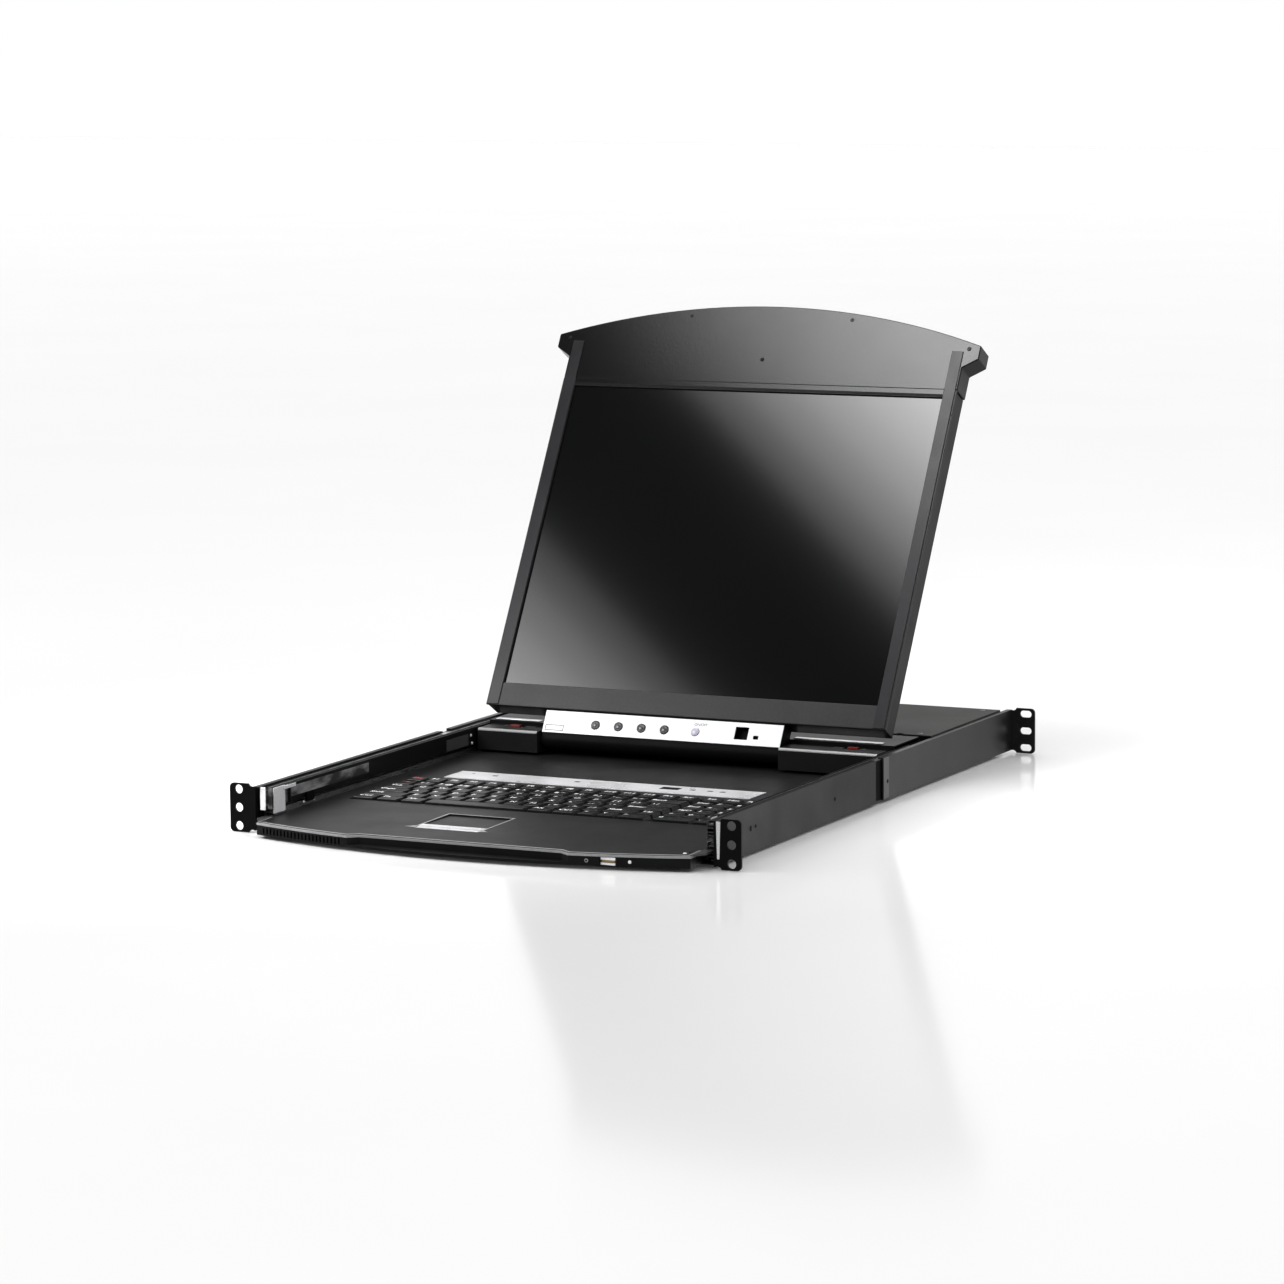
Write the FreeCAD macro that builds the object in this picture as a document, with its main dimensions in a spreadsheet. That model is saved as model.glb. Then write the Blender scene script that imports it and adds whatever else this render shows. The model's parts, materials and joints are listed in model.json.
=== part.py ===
"""Rackmount LCD console drawer: a 1U, 19 inch, dual-rail drawer with a folding 19 inch screen.

Frame: millimetres, +X to the right, +Y to the rear of the rack, +Z up.  The origin is the centre
of the front mounting-hole pattern, on the front face of the front ears.  Both drawers are stowed
and the lid stands open at its stop.
"""
import FreeCAD, Part

import math
import os
import re

import Sketcher
from FreeCAD import Placement, Rotation, Vector

doc = FreeCAD.newDocument("ConsoleDrawer")

# ---------------------------------------------------------------------------------------------
# Driving dimensions
# ---------------------------------------------------------------------------------------------

SIZES = [
    # rack interface
    ("ear_span", 482.6, "overall width across the ears"),
    ("ear_height", 42.25, "height of an ear plate"),
    ("ear_sheet", 2.0, "sheet of an ear plate"),
    ("ear_corner", 4.0, "corner radius of an ear plate"),
    ("ear_neck", 5.5, "width of the notched neck beside the rail"),
    ("ear_notch", 4.0, "radius of the notch in the neck"),
    ("ear_width", 23.5, "width of an ear plate beside the rail"),
    ("hole_inset", 8.75, "distance of the rack holes from the outer edge of an ear"),
    ("hole_pitch", 15.875, "vertical distance between neighbouring rack holes"),
    ("hole_radius", 4.0, "radius of a round front rack hole"),
    ("slot_half_width", 3.3, "half the height of a rear rack slot"),
    ("slot_length", 11.5, "end-to-end length of a rear rack slot"),
    # rails and chassis
    ("rail_height", 38.0, "height of a rail"),
    ("rail_sheet", 1.5, "sheet of a rail"),
    ("rail_flange", 5.2, "width of the top flange of a rail"),
    ("front_rail_length", 333.0, "length of a front rail"),
    ("bracket_start", 350.0, "front edge of a rear bracket"),
    ("rear_ear_depth", 655.0, "rear face of the rear ears"),
    ("bracket_clearance", 0.3, "gap between the chassis wall and the sheet outside it"),
    ("chassis_sheet", 1.2, "sheet of the chassis tray"),
    ("chassis_start", 6.0, "front edge of the chassis tray"),
    ("chassis_end", 640.0, "rear face of the chassis tray"),
    ("cover_start", 472.0, "front edge of the rear housing cover"),
    ("cover_rise", 1.5, "rise of the rear cover above the rails"),
    ("cover_gap", 0.4, "gap between the rear cover and the rail flanges"),
    ("skirt_depth", 11.3, "height of the rear cover's side skirts"),
    ("passage_inner", 70.0, "inner end of a cable passage in the rear cover's front wall"),
    ("passage_outer", 150.0, "outer end of a cable passage"),
    ("passage_height", 10.0, "height of a cable passage"),
    ("left_passage_foot", -14.0, "lower edge of the keyboard's cable passage"),
    ("right_passage_foot", 2.0, "lower edge of the screen's cable passage"),
    ("cover_notch", 6.0, "width of the locating notch in the rear cover's front edge"),
    ("cover_notch_place", 181.0, "centre of the locating notch"),
    # telescopic slides
    ("slide_thickness", 10.4, "thickness of a three-member slide"),
    ("slide_height", 16.4, "height of an outer slide member"),
    ("slide_start", 12.0, "front end of the slides"),
    ("slide_length", 428.0, "length of each slide member"),
    ("slide_sheet", 1.1, "sheet of the outer and middle members"),
    ("outer_flange", 6.2, "width of an outer member's flanges"),
    ("outer_lip", 0.6, "height of the lips that hold the outer balls"),
    ("lip_sheet", 1.0, "thickness of a lip"),
    ("middle_web", 1.6, "gap between the chassis wall and a middle member's web"),
    ("middle_gap", 0.8, "gap between a middle member's flanges and the inner member's plate"),
    ("middle_lip", 0.5, "height of the lips that hold the inner balls"),
    ("inner_start", 4.2, "near edge of an inner member's flanges from the chassis wall"),
    ("inner_sheet", 1.0, "sheet of the inner members"),
    ("face_half_height", 7.4, "half the height of an inner member's face plate"),
    ("cage_offset", 140.0, "ball cages, behind the front end of the slides"),
    ("cage_length", 180.0, "length of a ball cage"),
    ("cage_sheet", 0.6, "sheet of a ball cage"),
    ("cage_gap", 0.4, "clearance beside a ball cage"),
    ("ball_radius", 1.0, "radius of the outer race balls"),
    ("small_ball_radius", 0.8, "radius of the inner race balls"),
    ("race_clearance", 0.05, "clearance of a ball in its race"),
    ("lcd_slide_foot", 0.6, "underside of the screen slides"),
    ("keyboard_slide_head", -0.7, "top of the keyboard slides"),
    # hinge and lid
    ("hinge_depth", 390.0, "hinge axis, distance behind the front ears"),
    ("hinge_level", 7.9, "hinge axis, height"),
    ("lid_tilt", 60.0, "angle of the open lid above the horizontal"),
    ("lid_face", 9.25, "screen face of the lid, in front of the hinge axis"),
    ("lid_thickness", 22.0, "thickness of the lid"),
    ("lid_width", 401.0, "width of the lid"),
    ("lid_foot", 27.4, "lower edge of the lid, from the hinge axis"),
    ("lid_apex", 440.9, "top of the arch, from the hinge axis"),
    ("arch_radius", 685.0, "radius of the arch at the lid's top and the keyboard's front"),
    ("lid_wall", 1.6, "wall of the lid's covers"),
    ("bezel_sheet", 2.0, "thickness of the screen bezel"),
    ("screen_width", 375.0, "width of the bezel's opening"),
    ("screen_height", 303.7, "height of the bezel's opening"),
    ("screen_foot", 49.9, "lower edge of the bezel's opening, from the hinge axis"),
    ("handle_start", 361.2, "lower edge of the lid's handle, from the hinge axis"),
    ("wing_span", 430.0, "width over the handle's wings"),
    ("wing_foot", 392.9, "lower edge of a wing, from the hinge axis"),
    ("wing_slant", 9.0, "height of the slant under a wing"),
    ("strip_left", -137.0, "left end of the control strip"),
    ("strip_right", 102.0, "right end of the control strip"),
    ("strip_foot", 3.9, "lower edge of the control strip, from the hinge axis"),
    ("strip_top", 25.4, "upper edge of the control strip, from the hinge axis"),
    ("strip_sheet", 1.2, "thickness of the control strip"),
    ("barrel_radius", 9.2, "radius of the hinge barrel"),
    ("pin_radius", 4.0, "radius of a hinge pin"),
    ("pin_clearance", 0.05, "radial clearance of a hinge pin in the barrel"),
    ("block_gap", 1.5, "gap between the barrel and a hinge block"),
    ("block_end", 200.0, "outer end of a hinge block"),
    ("block_front", 377.3, "front face of a hinge block"),
    ("block_rear", 408.0, "rear face of a hinge block"),
    ("block_top", 16.6, "top of a hinge block"),
    ("block_foot", -3.0, "underside of a hinge block"),
    ("beam_end", 466.0, "rear face of the screen carriage"),
    ("beam_top", 20.0, "top of the screen carriage"),
    # buttons on the control strip
    ("button_radius", 4.1, "radius of a screen-menu button"),
    ("button_first", -84.3, "first screen-menu button from the lid's centre"),
    ("button_pitch", 23.2, "distance between screen-menu buttons"),
    ("button_row", 13.6, "height of the button row, from the hinge axis"),
    ("button_rise", 0.8, "rise of a button above the strip"),
    ("button_travel", 1.2, "travel of a button"),
    ("well_depth", 6.5, "depth of the square wells behind the buttons"),
    ("power_button_place", 16.3, "on/off button from the lid's centre"),
    ("power_button_radius", 3.7, "radius of the on/off button"),
    ("button_gap", 0.3, "clearance round a button"),
    ("port_place", 62.0, "upgrade port from the lid's centre"),
    ("port_width", 13.0, "width of the upgrade port"),
    ("port_height", 12.0, "height of the upgrade port"),
    ("port_depth", 7.0, "depth of the upgrade port"),
    # keyboard drawer
    ("drawer_gap", 0.2, "gap between the keyboard drawer and a slide's face plate"),
    ("drawer_end", 400.0, "rear end of the keyboard drawer"),
    ("drawer_front_end", -18.86, "front of the keyboard drawer at its sides"),
    ("drawer_foot", -17.0, "underside of the keyboard tray"),
    ("tray_sheet", 1.2, "sheet of the keyboard tray"),
    ("deck_foot", -10.6, "underside of the keyboard deck"),
    ("deck_top", -5.6, "top of the deck behind the keys"),
    ("deck_front_top", -8.0, "top of the deck at its front edge"),
    ("palm_rear", 102.0, "rear end of the sloping palm rest"),
    ("fascia_rear", -8.0, "rear face of the front fascia"),
    ("fascia_foot", -18.6, "underside of the front fascia"),
    ("grip_half_width", 95.0, "half the width of the drawer's hand grip"),
    ("grip_slant", 9.0, "width of a slanted end of the hand grip"),
    ("grip_depth", 6.06, "depth of the hand grip at its ends"),
    ("grip_lip", 2.4, "thickness of the hand grip's lower lip"),
    # keys
    ("key_pitch", 19.0, "distance between keys"),
    ("key_gap", 1.0, "gap between the feet of neighbouring keys"),
    ("key_taper", 2.0, "inward slope of a key on each side"),
    ("key_top", -3.6, "top of the keys"),
    ("key_foot", -8.9, "foot of the key caps"),
    ("key_travel", 1.5, "travel of a key"),
    ("keys_left", -183.0, "left edge of the key field"),
    ("keys_front", 105.5, "front edge of the key field"),
    ("function_gap", 3.0, "gap in front of the function row"),
    ("well_gap", 0.7, "gap between the key field and the deck"),
    ("stem_width", 4.0, "width of a key's stem"),
    ("stem_gap", 0.3, "clearance of a stem in its groove"),
    ("stem_length", 2.6, "length of a key's stem below its cap"),
    ("guide_thickness", 4.2, "thickness of the key guide plate"),
    ("guide_margin", 6.0, "overlap of the key guide plate under the deck"),
    # touchpad and port strip
    ("touchpad_left", -66.0, "left edge of the touchpad"),
    ("touchpad_width", 60.0, "width of the touchpad"),
    ("touchpad_front", 8.0, "front edge of the touchpad's buttons"),
    ("touchpad_depth", 64.0, "depth of the touchpad with its buttons"),
    ("touchpad_button_depth", 7.5, "depth of the touchpad's buttons"),
    ("touchpad_recess", 2.6, "depth of the touchpad's recess"),
    ("touchpad_travel", 0.6, "travel of a touchpad button"),
    ("port_strip_left", -160.0, "left end of the port strip"),
    ("port_strip_length", 300.0, "length of the port strip"),
    ("port_strip_front", 236.0, "front edge of the port strip"),
    ("port_strip_depth", 36.0, "depth of the port strip"),
    ("port_strip_sheet", 0.8, "thickness of the port strip"),
    ("usb_place", 137.5, "centre of the USB socket"),
    ("usb_width", 14.4, "width of the USB socket"),
    ("usb_height", 6.8, "height of the USB socket"),
    ("usb_level", -14.1, "height of the USB socket's centre"),
    ("usb_depth", 15.0, "depth of the USB socket"),
    # rear housing
    ("board_thickness", 1.6, "thickness of the circuit boards"),
    ("board_left", -205.0, "left edge of the main board"),
    ("board_right", 132.0, "right edge of the main board"),
    ("board_front", 556.0, "front edge of the main board"),
    ("board_gap", 6.0, "gap between the main board and the rear panel"),
    ("chip_height", 2.5, "height of the largest chips"),
    ("supply_left", 40.0, "left side of the power supply"),
    ("supply_right", 204.0, "right side of the power supply"),
    ("supply_front", 482.0, "front of the power supply"),
    ("supply_rear", 548.0, "rear of the power supply"),
    ("supply_height", 30.0, "height of the power supply"),
    ("supply_vent", 6.0, "width of the vent slots, and of the bars between them"),
    ("standoff_height", 4.0, "height of the main board's standoffs"),
    ("standoff_width", 5.5, "width across the flats of a standoff"),
    ("inlet_place", 158.0, "centre of the power inlet"),
    ("inlet_width", 27.2, "width of the power inlet"),
    ("inlet_height", 19.6, "height of the power inlet"),
    ("rocker_place", 190.0, "centre of the power rocker"),
    ("rocker_width", 13.0, "width of the power rocker"),
    ("rocker_height", 19.0, "height of the power rocker"),
    ("inlet_cavity_width", 24.0, "width of the power inlet's socket"),
    ("inlet_cavity_height", 16.0, "height of the power inlet's socket"),
    ("inlet_rim", 1.5, "width and thickness of the power module's rim"),
    ("d_half_width", 8.2, "half the width of a D-shaped connector's shell"),
    ("d_half_height", 4.2, "half the height of a D-shaped connector's shell"),
    ("d_slant", 1.4, "inward slope of a D-shaped connector's ends"),
    ("console_half_width", 7.0, "half the width of a console port's case"),
    ("console_half_height", 3.6, "half the height of a console port's case"),
    ("console_wall", 1.0, "wall of a console port's case"),
    ("panel_gap", 0.4, "clearance of a connector in the rear panel"),
    ("port_rise", 6.4, "height of the connectors' centres above the main board"),
    ("port_count", 8.0, "number of computer ports"),
    ("computer_port_pitch", 33.0, "distance between computer ports"),
]

sheet = doc.addObject("Spreadsheet::Sheet", "Sizes")
for number, (alias, size, meaning) in enumerate(SIZES, start=1):
    sheet.set("A%d" % number, meaning)
    sheet.set("B%d" % number, repr(size))
    sheet.setAlias("B%d" % number, alias)
doc.recompute()

ALIASES = {alias for alias, size, meaning in SIZES}


def sized(formula):
    """Writes a formula of plain names as one that reads them from the sheet."""
    def prefix(match):
        word = match.group(0)
        return "Sizes." + word if word in ALIASES else word
    return re.sub(r"[a-z][a-z_]*", prefix, str(formula))


def number_of(formula):
    """The present value of a formula."""
    return float(sheet.evalExpression(sized(formula)))


# ---------------------------------------------------------------------------------------------
# Modelling helpers
# ---------------------------------------------------------------------------------------------

sub_parts = []
cuts = []

PLANES = {"top": "XY_Plane", "front": "XZ_Plane", "side": "YZ_Plane"}


def minus(formula):
    return "-(%s)" % formula


def mirrored(outline):
    """The outline on the other side of the middle plane."""
    return [(minus(point[0]), point[1]) + tuple(minus(radius) for radius in point[2:])
            for point in outline]


def to_side(side, outline):
    """The outline of the right side, or its mirror image for the left side."""
    return outline if side == "right" else mirrored(outline)


def new_body(label, own=True):
    """A body; its own sub-part, or else a piece that goes into one."""
    body = doc.addObject("PartDesign::Body", label)
    body.Label = label
    if own:
        sub_parts.append(body)
    return body


def new_sketch(body, view, offset):
    """A sketch on one of the body's origin planes, moved along that plane's normal."""
    sketch = body.newObject("Sketcher::SketchObject", "Sketch")
    planes = body.Origin.OriginFeatures
    plane = next(item for item in planes if item.Role == PLANES[view])
    sketch.AttachmentSupport = (plane, "")
    sketch.MapMode = "FlatFace"
    sketch.setExpression("AttachmentOffset.Base.z", sized(offset))
    return sketch


def arc_centre(start, end, radius):
    """Centre of the arc from start to end; a positive radius bulges to the right of the way."""
    middle = (start + end) * 0.5
    way = end - start
    half = way.Length / 2
    rise = math.sqrt(max(radius * radius - half * half, 0.0))
    left = Vector(-way.y, way.x, 0).normalize()
    return middle + left * rise * (1 if radius > 0 else -1)


def add_outline(sketch, points):
    """A closed outline.  A point is (x, y), or (x, y, radius) where an arc starts from it."""
    places = [Vector(number_of(point[0]), number_of(point[1]), 0) for point in points]
    edges = []
    for index, point in enumerate(points):
        start = places[index]
        end = places[(index + 1) % len(points)]
        if len(point) == 2:
            edges.append((sketch.addGeometry(Part.LineSegment(start, end)), 1, 2))
            continue
        radius = number_of(point[2])
        centre = arc_centre(start, end, radius)
        turn = [math.atan2(place.y - centre.y, place.x - centre.x) for place in (start, end)]
        forward = radius > 0
        circle = Part.Circle(centre, Vector(0, 0, 1), abs(radius))
        arc = Part.ArcOfCircle(circle, *(turn if forward else turn[::-1]))
        edges.append((sketch.addGeometry(arc), 1 if forward else 2, 2 if forward else 1))
    for index, (edge, first, last) in enumerate(edges):
        following = edges[(index + 1) % len(edges)]
        sketch.addConstraint(Sketcher.Constraint("Coincident", edge, last, following[0], following[1]))
    for index, point in enumerate(points):
        edge, first, last = edges[index]
        for kind, formula in (("DistanceX", point[0]), ("DistanceY", point[1])):
            rule = Sketcher.Constraint(kind, -1, 1, edge, first, number_of(formula))
            bind_rule(sketch, sketch.addConstraint(rule), formula)
        if len(point) == 3:
            bind_arc(sketch, edge, point, places[(index + 1) % len(places)] - places[index])


def bind_arc(sketch, edge, point, way):
    """Fixes an arc's radius, or its centre where the arc is a half circle on an upright chord."""
    radius = abs(number_of(point[2]))
    if way.Length > 1.999 * radius:
        rule = Sketcher.Constraint("DistanceX", -1, 1, edge, 3, number_of(point[0]))
        bind_rule(sketch, sketch.addConstraint(rule), point[0])
        return
    rule = Sketcher.Constraint("Radius", edge, radius)
    bind_rule(sketch, sketch.addConstraint(rule), "abs(%s)" % point[2])


def add_circle(sketch, x, y, radius):
    place = Vector(number_of(x), number_of(y), 0)
    edge = sketch.addGeometry(Part.Circle(place, Vector(0, 0, 1), number_of(radius)))
    for kind, formula in (("DistanceX", x), ("DistanceY", y)):
        rule = Sketcher.Constraint(kind, -1, 1, edge, 3, number_of(formula))
        bind_rule(sketch, sketch.addConstraint(rule), formula)
    rule = Sketcher.Constraint("Radius", edge, number_of(radius))
    bind_rule(sketch, sketch.addConstraint(rule), radius)


def bind_rule(sketch, rule, formula):
    if any(character.isalpha() for character in str(formula)):
        sketch.setExpression("Constraints[%d]" % rule, sized(formula))


def box_outline(left, right, low, high):
    return [(left, low), (right, low), (right, high), (left, high)]


def extrude(body, view, outlines, start, end, cut=False, circles=()):
    """Adds, or cuts, the outlines between two places along the view's axis."""
    low, high = (minus(end), minus(start)) if view == "front" else (start, end)
    sketch = new_sketch(body, view, low)
    for points in outlines:
        add_outline(sketch, points)
    for circle in circles:
        add_circle(sketch, *circle)
    kind = "PartDesign::Pocket" if cut else "PartDesign::Pad"
    feature = body.newObject(kind, "Cut" if cut else "Solid")
    feature.Profile = sketch
    feature.Type = 0
    feature.setExpression("Length", sized("(%s) - (%s)" % (high, low)))
    if cut:
        feature.Reversed = True
        cuts.append(feature)
    return feature


def hexagon(x, y, width):
    """Six-sided outline from its width across the flats."""
    reach = "(%s) / sqrt(3)" % width
    half = "(%s) / 2" % width
    corners = ((reach, "0"), (reach + " / 2", half), (minus(reach + " / 2"), half),
               (minus(reach), "0"), (minus(reach + " / 2"), minus(half)),
               (reach + " / 2", minus(half)))
    return [("%s + %s" % (x, across), "%s + %s" % (y, along)) for across, along in corners]


def block(name, left, right, front, rear, foot, top):
    """A Part::Box between six places."""
    box = doc.addObject("Part::Box", name)
    sides = (("Length", "x", left, right), ("Width", "y", front, rear), ("Height", "z", foot, top))
    for size, axis, low, high in sides:
        box.setExpression(size, sized("(%s) - (%s)" % (high, low)))
        box.setExpression("Placement.Base." + axis, sized(low))
    return box


AXES = {"x": Vector(1, 0, 0), "y": Vector(0, 1, 0), "z": Vector(0, 0, 1)}


def cylinder(name, axis, x, y, z, radius, length):
    """A Part::Cylinder that starts at a place and runs along an axis."""
    rod = doc.addObject("Part::Cylinder", name)
    rod.Placement = Placement(Vector(), Rotation(AXES["z"], AXES[axis]))
    rod.setExpression("Radius", sized(radius))
    rod.setExpression("Height", sized(length))
    for letter, formula in (("x", x), ("y", y), ("z", z)):
        rod.setExpression("Placement.Base." + letter, sized(formula))
    return rod


def joined(name, pieces):
    """Several touching solids made one."""
    if len(pieces) == 1:
        return pieces[0]
    union = doc.addObject("Part::MultiFuse", name)
    union.Shapes = pieces
    return union


def carved(name, base, tools):
    """A solid with other solids cut out of it."""
    rest = doc.addObject("Part::Cut", name)
    rest.Base = base
    rest.Tool = joined(name + "_tools", tools)
    return rest


def grouped(name, pieces):
    """Several separate solids kept as one sub-part."""
    group = doc.addObject("Part::Compound", name)
    group.Links = pieces
    return group


def finished(label, thing):
    """Names an object as a sub-part."""
    thing.Label = label
    sub_parts.append(thing)
    return thing


def on_lid(thing):
    """Turns a sub-part from the lid's own flat frame to the open lid, about the hinge axis."""
    thing.Placement = Placement(Vector(), Rotation(AXES["x"], number_of("lid_tilt")))
    thing.setExpression("Placement.Base.y", sized("hinge_depth"))
    thing.setExpression("Placement.Base.z", sized("hinge_level"))
    thing.setExpression("Placement.Rotation.Angle", sized("lid_tilt"))
    return thing


SIDES = ("left", "right")


def span(side, inner, outer):
    """Left and right ends of a stretch that lies between two distances from the middle plane."""
    if side == "left":
        return minus(outer), minus(inner)
    return inner, outer


# ---------------------------------------------------------------------------------------------
# Places that several sub-parts share
# ---------------------------------------------------------------------------------------------

HOLE_PLACE = "(ear_span / 2 - hole_inset)"
RAIL_OUT = "(ear_span / 2 - ear_width)"
RAIL_IN = "(ear_span / 2 - ear_width - rail_sheet)"
RAIL_TOP = "rail_height / 2"
RAIL_FOOT = "-rail_height / 2"
CHASSIS_OUT = "(%s - bracket_clearance)" % RAIL_IN
CHASSIS_IN = "(%s - chassis_sheet)" % CHASSIS_OUT
FLOOR_TOP = "(chassis_sheet - rail_height / 2)"
COVER_HALF = "(%s - rail_flange - cover_gap)" % RAIL_OUT
COVER_TOP = "(rail_height / 2 + cover_rise)"
COVER_UNDER = "(rail_height / 2 + cover_rise - chassis_sheet)"
PANEL_FRONT = "(chassis_end - chassis_sheet)"
SLIDE_FACE = "(%s - slide_thickness)" % CHASSIS_IN
SLIDE_END = "(slide_start + slide_length)"
LID_BACK = "(lid_face - lid_thickness)"
BEZEL_BACK = "(lid_face - bezel_sheet)"
DRAWER_HALF = "(%s - drawer_gap)" % SLIDE_FACE
BOARD_FOOT = "(chassis_sheet - rail_height / 2 + standoff_height)"
BOARD_TOP = "(chassis_sheet - rail_height / 2 + standoff_height + board_thickness)"


def arch_sag(half_chord):
    """How far an arch falls back from its apex at a distance from the middle plane."""
    return "(arch_radius - sqrt(arch_radius ^ 2 - (%s) ^ 2))" % half_chord


# ---------------------------------------------------------------------------------------------
# Rails, rear brackets, chassis and rear housing
# ---------------------------------------------------------------------------------------------

def rail_section():
    """Angle section of a right-hand rail: the outer wall and its narrow top flange."""
    return [(RAIL_IN, RAIL_FOOT), (RAIL_OUT, RAIL_FOOT), (RAIL_OUT, RAIL_TOP),
            (RAIL_OUT + " - rail_flange", RAIL_TOP),
            (RAIL_OUT + " - rail_flange", RAIL_TOP + " - rail_sheet"),
            (RAIL_IN, RAIL_TOP + " - rail_sheet")]


def ear_outline():
    """A right-hand ear plate: rounded outer corners and a notched neck beside the rail."""
    edge = "ear_span / 2"
    top = "ear_height / 2"
    neck = RAIL_OUT + " + ear_neck"
    return [(RAIL_IN, RAIL_FOOT), (RAIL_OUT, RAIL_FOOT, "-ear_notch"), (neck, "-ear_height / 2"),
            (edge + " - ear_corner", "-ear_height / 2", "ear_corner"),
            (edge, "ear_corner - ear_height / 2"),
            (edge, top + " - ear_corner", "ear_corner"), (edge + " - ear_corner", top),
            (neck, top, "-ear_notch"), (RAIL_OUT, RAIL_TOP), (RAIL_IN, RAIL_TOP)]


def slot_outline(x, z):
    """A horizontal slot with round ends."""
    reach = "(slot_length / 2 - slot_half_width)"
    left = "%s - %s" % (x, reach)
    right = "%s + %s" % (x, reach)
    low = "%s - slot_half_width" % z
    high = "%s + slot_half_width" % z
    return [(left, low), (right, low, "slot_half_width"), (right, high),
            (left, high, "slot_half_width")]


HOLE_LEVELS = ("-hole_pitch", "0 * hole_pitch", "hole_pitch")


def front_rail(side):
    rail = new_body("front_rail_" + side)
    extrude(rail, "front", [to_side(side, rail_section())], "0", "front_rail_length")
    sign = "-" if side == "left" else ""
    holes = [(sign + HOLE_PLACE, level, "hole_radius") for level in HOLE_LEVELS]
    extrude(rail, "front", [to_side(side, ear_outline())], "0", "ear_sheet", circles=holes)


def rear_bracket(side):
    bracket = new_body("rear_bracket_" + side)
    section = to_side(side, rail_section())
    extrude(bracket, "front", [section], "bracket_start", "rear_ear_depth")
    outlines = [ear_outline()]
    outlines += [slot_outline(HOLE_PLACE, level) for level in HOLE_LEVELS]
    outlines = [to_side(side, outline) for outline in outlines]
    extrude(bracket, "front", outlines, "rear_ear_depth - ear_sheet", "rear_ear_depth")


def chassis():
    """Floor tray with a side wall along each edge, which carries the slides."""
    tray = new_body("chassis_tray")
    floor = box_outline("-" + CHASSIS_OUT, CHASSIS_OUT, "chassis_start", "chassis_end")
    extrude(tray, "top", [floor], RAIL_FOOT, FLOOR_TOP)
    for side in SIDES:
        wall = new_body("chassis_wall_" + side)
        low, high = span(side, CHASSIS_IN, CHASSIS_OUT)
        outline = box_outline("chassis_start", "chassis_end", FLOOR_TOP,
                              RAIL_TOP + " - rail_sheet - bracket_clearance")
        extrude(wall, "side", [outline], low, high)


def rear_bulkhead():
    """Wall between the drawers and the rear housing, with a passage for each drawer's cables."""
    bulkhead = new_body("rear_bulkhead")
    rear = "cover_start + chassis_sheet"
    wall = box_outline("-" + COVER_HALF, COVER_HALF, FLOOR_TOP, COVER_UNDER)
    extrude(bulkhead, "front", [wall], "cover_start", rear)
    passages = [box_outline(*span(side, "passage_inner", "passage_outer"), side + "_passage_foot",
                            side + "_passage_foot + passage_height") for side in SIDES]
    extrude(bulkhead, "front", passages, "cover_start - 1", rear + " + 1", cut=True)


def rear_cover():
    """Top plate with a skirt along each side and a locating notch in its front edge."""
    cover = new_body("rear_cover")
    extrude(cover, "top", [box_outline("-" + COVER_HALF, COVER_HALF, "cover_start", "chassis_end")],
            COVER_UNDER, COVER_TOP)
    for side in SIDES:
        low, high = span(side, COVER_HALF + " - chassis_sheet", COVER_HALF)
        skirt = box_outline("cover_start + chassis_sheet", PANEL_FRONT,
                            COVER_UNDER + " - skirt_depth", COVER_UNDER)
        extrude(cover, "side", [skirt], low, high)
    notch = box_outline("cover_notch_place - cover_notch / 2", "cover_notch_place + cover_notch / 2",
                        "cover_start - 1", "cover_start + 4")
    extrude(cover, "top", [notch], COVER_UNDER + " - 0.5", COVER_TOP + " + 1", cut=True)


COMPUTER_PORT_FIRST = "-188"
CONSOLE_PORT_PLACES = ("79", "102", "121")
PORT_LEVEL = "(" + BOARD_TOP + " + port_rise)"


def computer_port_place(index):
    return "(%s + %d * computer_port_pitch)" % (COMPUTER_PORT_FIRST, index)


def connector_hole(place, kind):
    """Hole in the rear panel round a connector: kind names the connector's half sizes."""
    wide = kind + "_half_width + panel_gap"
    high = kind + "_half_height + panel_gap"
    return box_outline("%s - (%s)" % (place, wide), "%s + (%s)" % (place, wide),
                       "%s - (%s)" % (PORT_LEVEL, high), "%s + (%s)" % (PORT_LEVEL, high))


def rear_panel():
    """Rear wall with a hole for each connector."""
    panel = new_body("rear_panel")
    extrude(panel, "front", [box_outline("-" + COVER_HALF, COVER_HALF, FLOOR_TOP, COVER_UNDER)],
            PANEL_FRONT, "chassis_end")
    holes = [connector_hole(computer_port_place(index), "d")
             for index in range(int(number_of("port_count")))]
    holes.append(connector_hole(CONSOLE_PORT_PLACES[0], "d"))
    holes += [connector_hole(place, "console") for place in CONSOLE_PORT_PLACES[1:]]
    module_left = "inlet_place - inlet_width / 2"
    module_right = "rocker_place + rocker_width / 2 + 2"
    holes.append(box_outline(module_left, module_right, "-inlet_height / 2 - 1",
                             "inlet_height / 2 + 1"))
    extrude(panel, "front", holes, PANEL_FRONT + " - 1", "chassis_end + 1", cut=True)
    vents = []
    for index in range(12):
        left = "-190 + %d * 20" % index
        vents.append(box_outline(left, left + " + 14", "11", "14"))
    extrude(panel, "front", vents, PANEL_FRONT + " - 1", "chassis_end + 1", cut=True)


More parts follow.
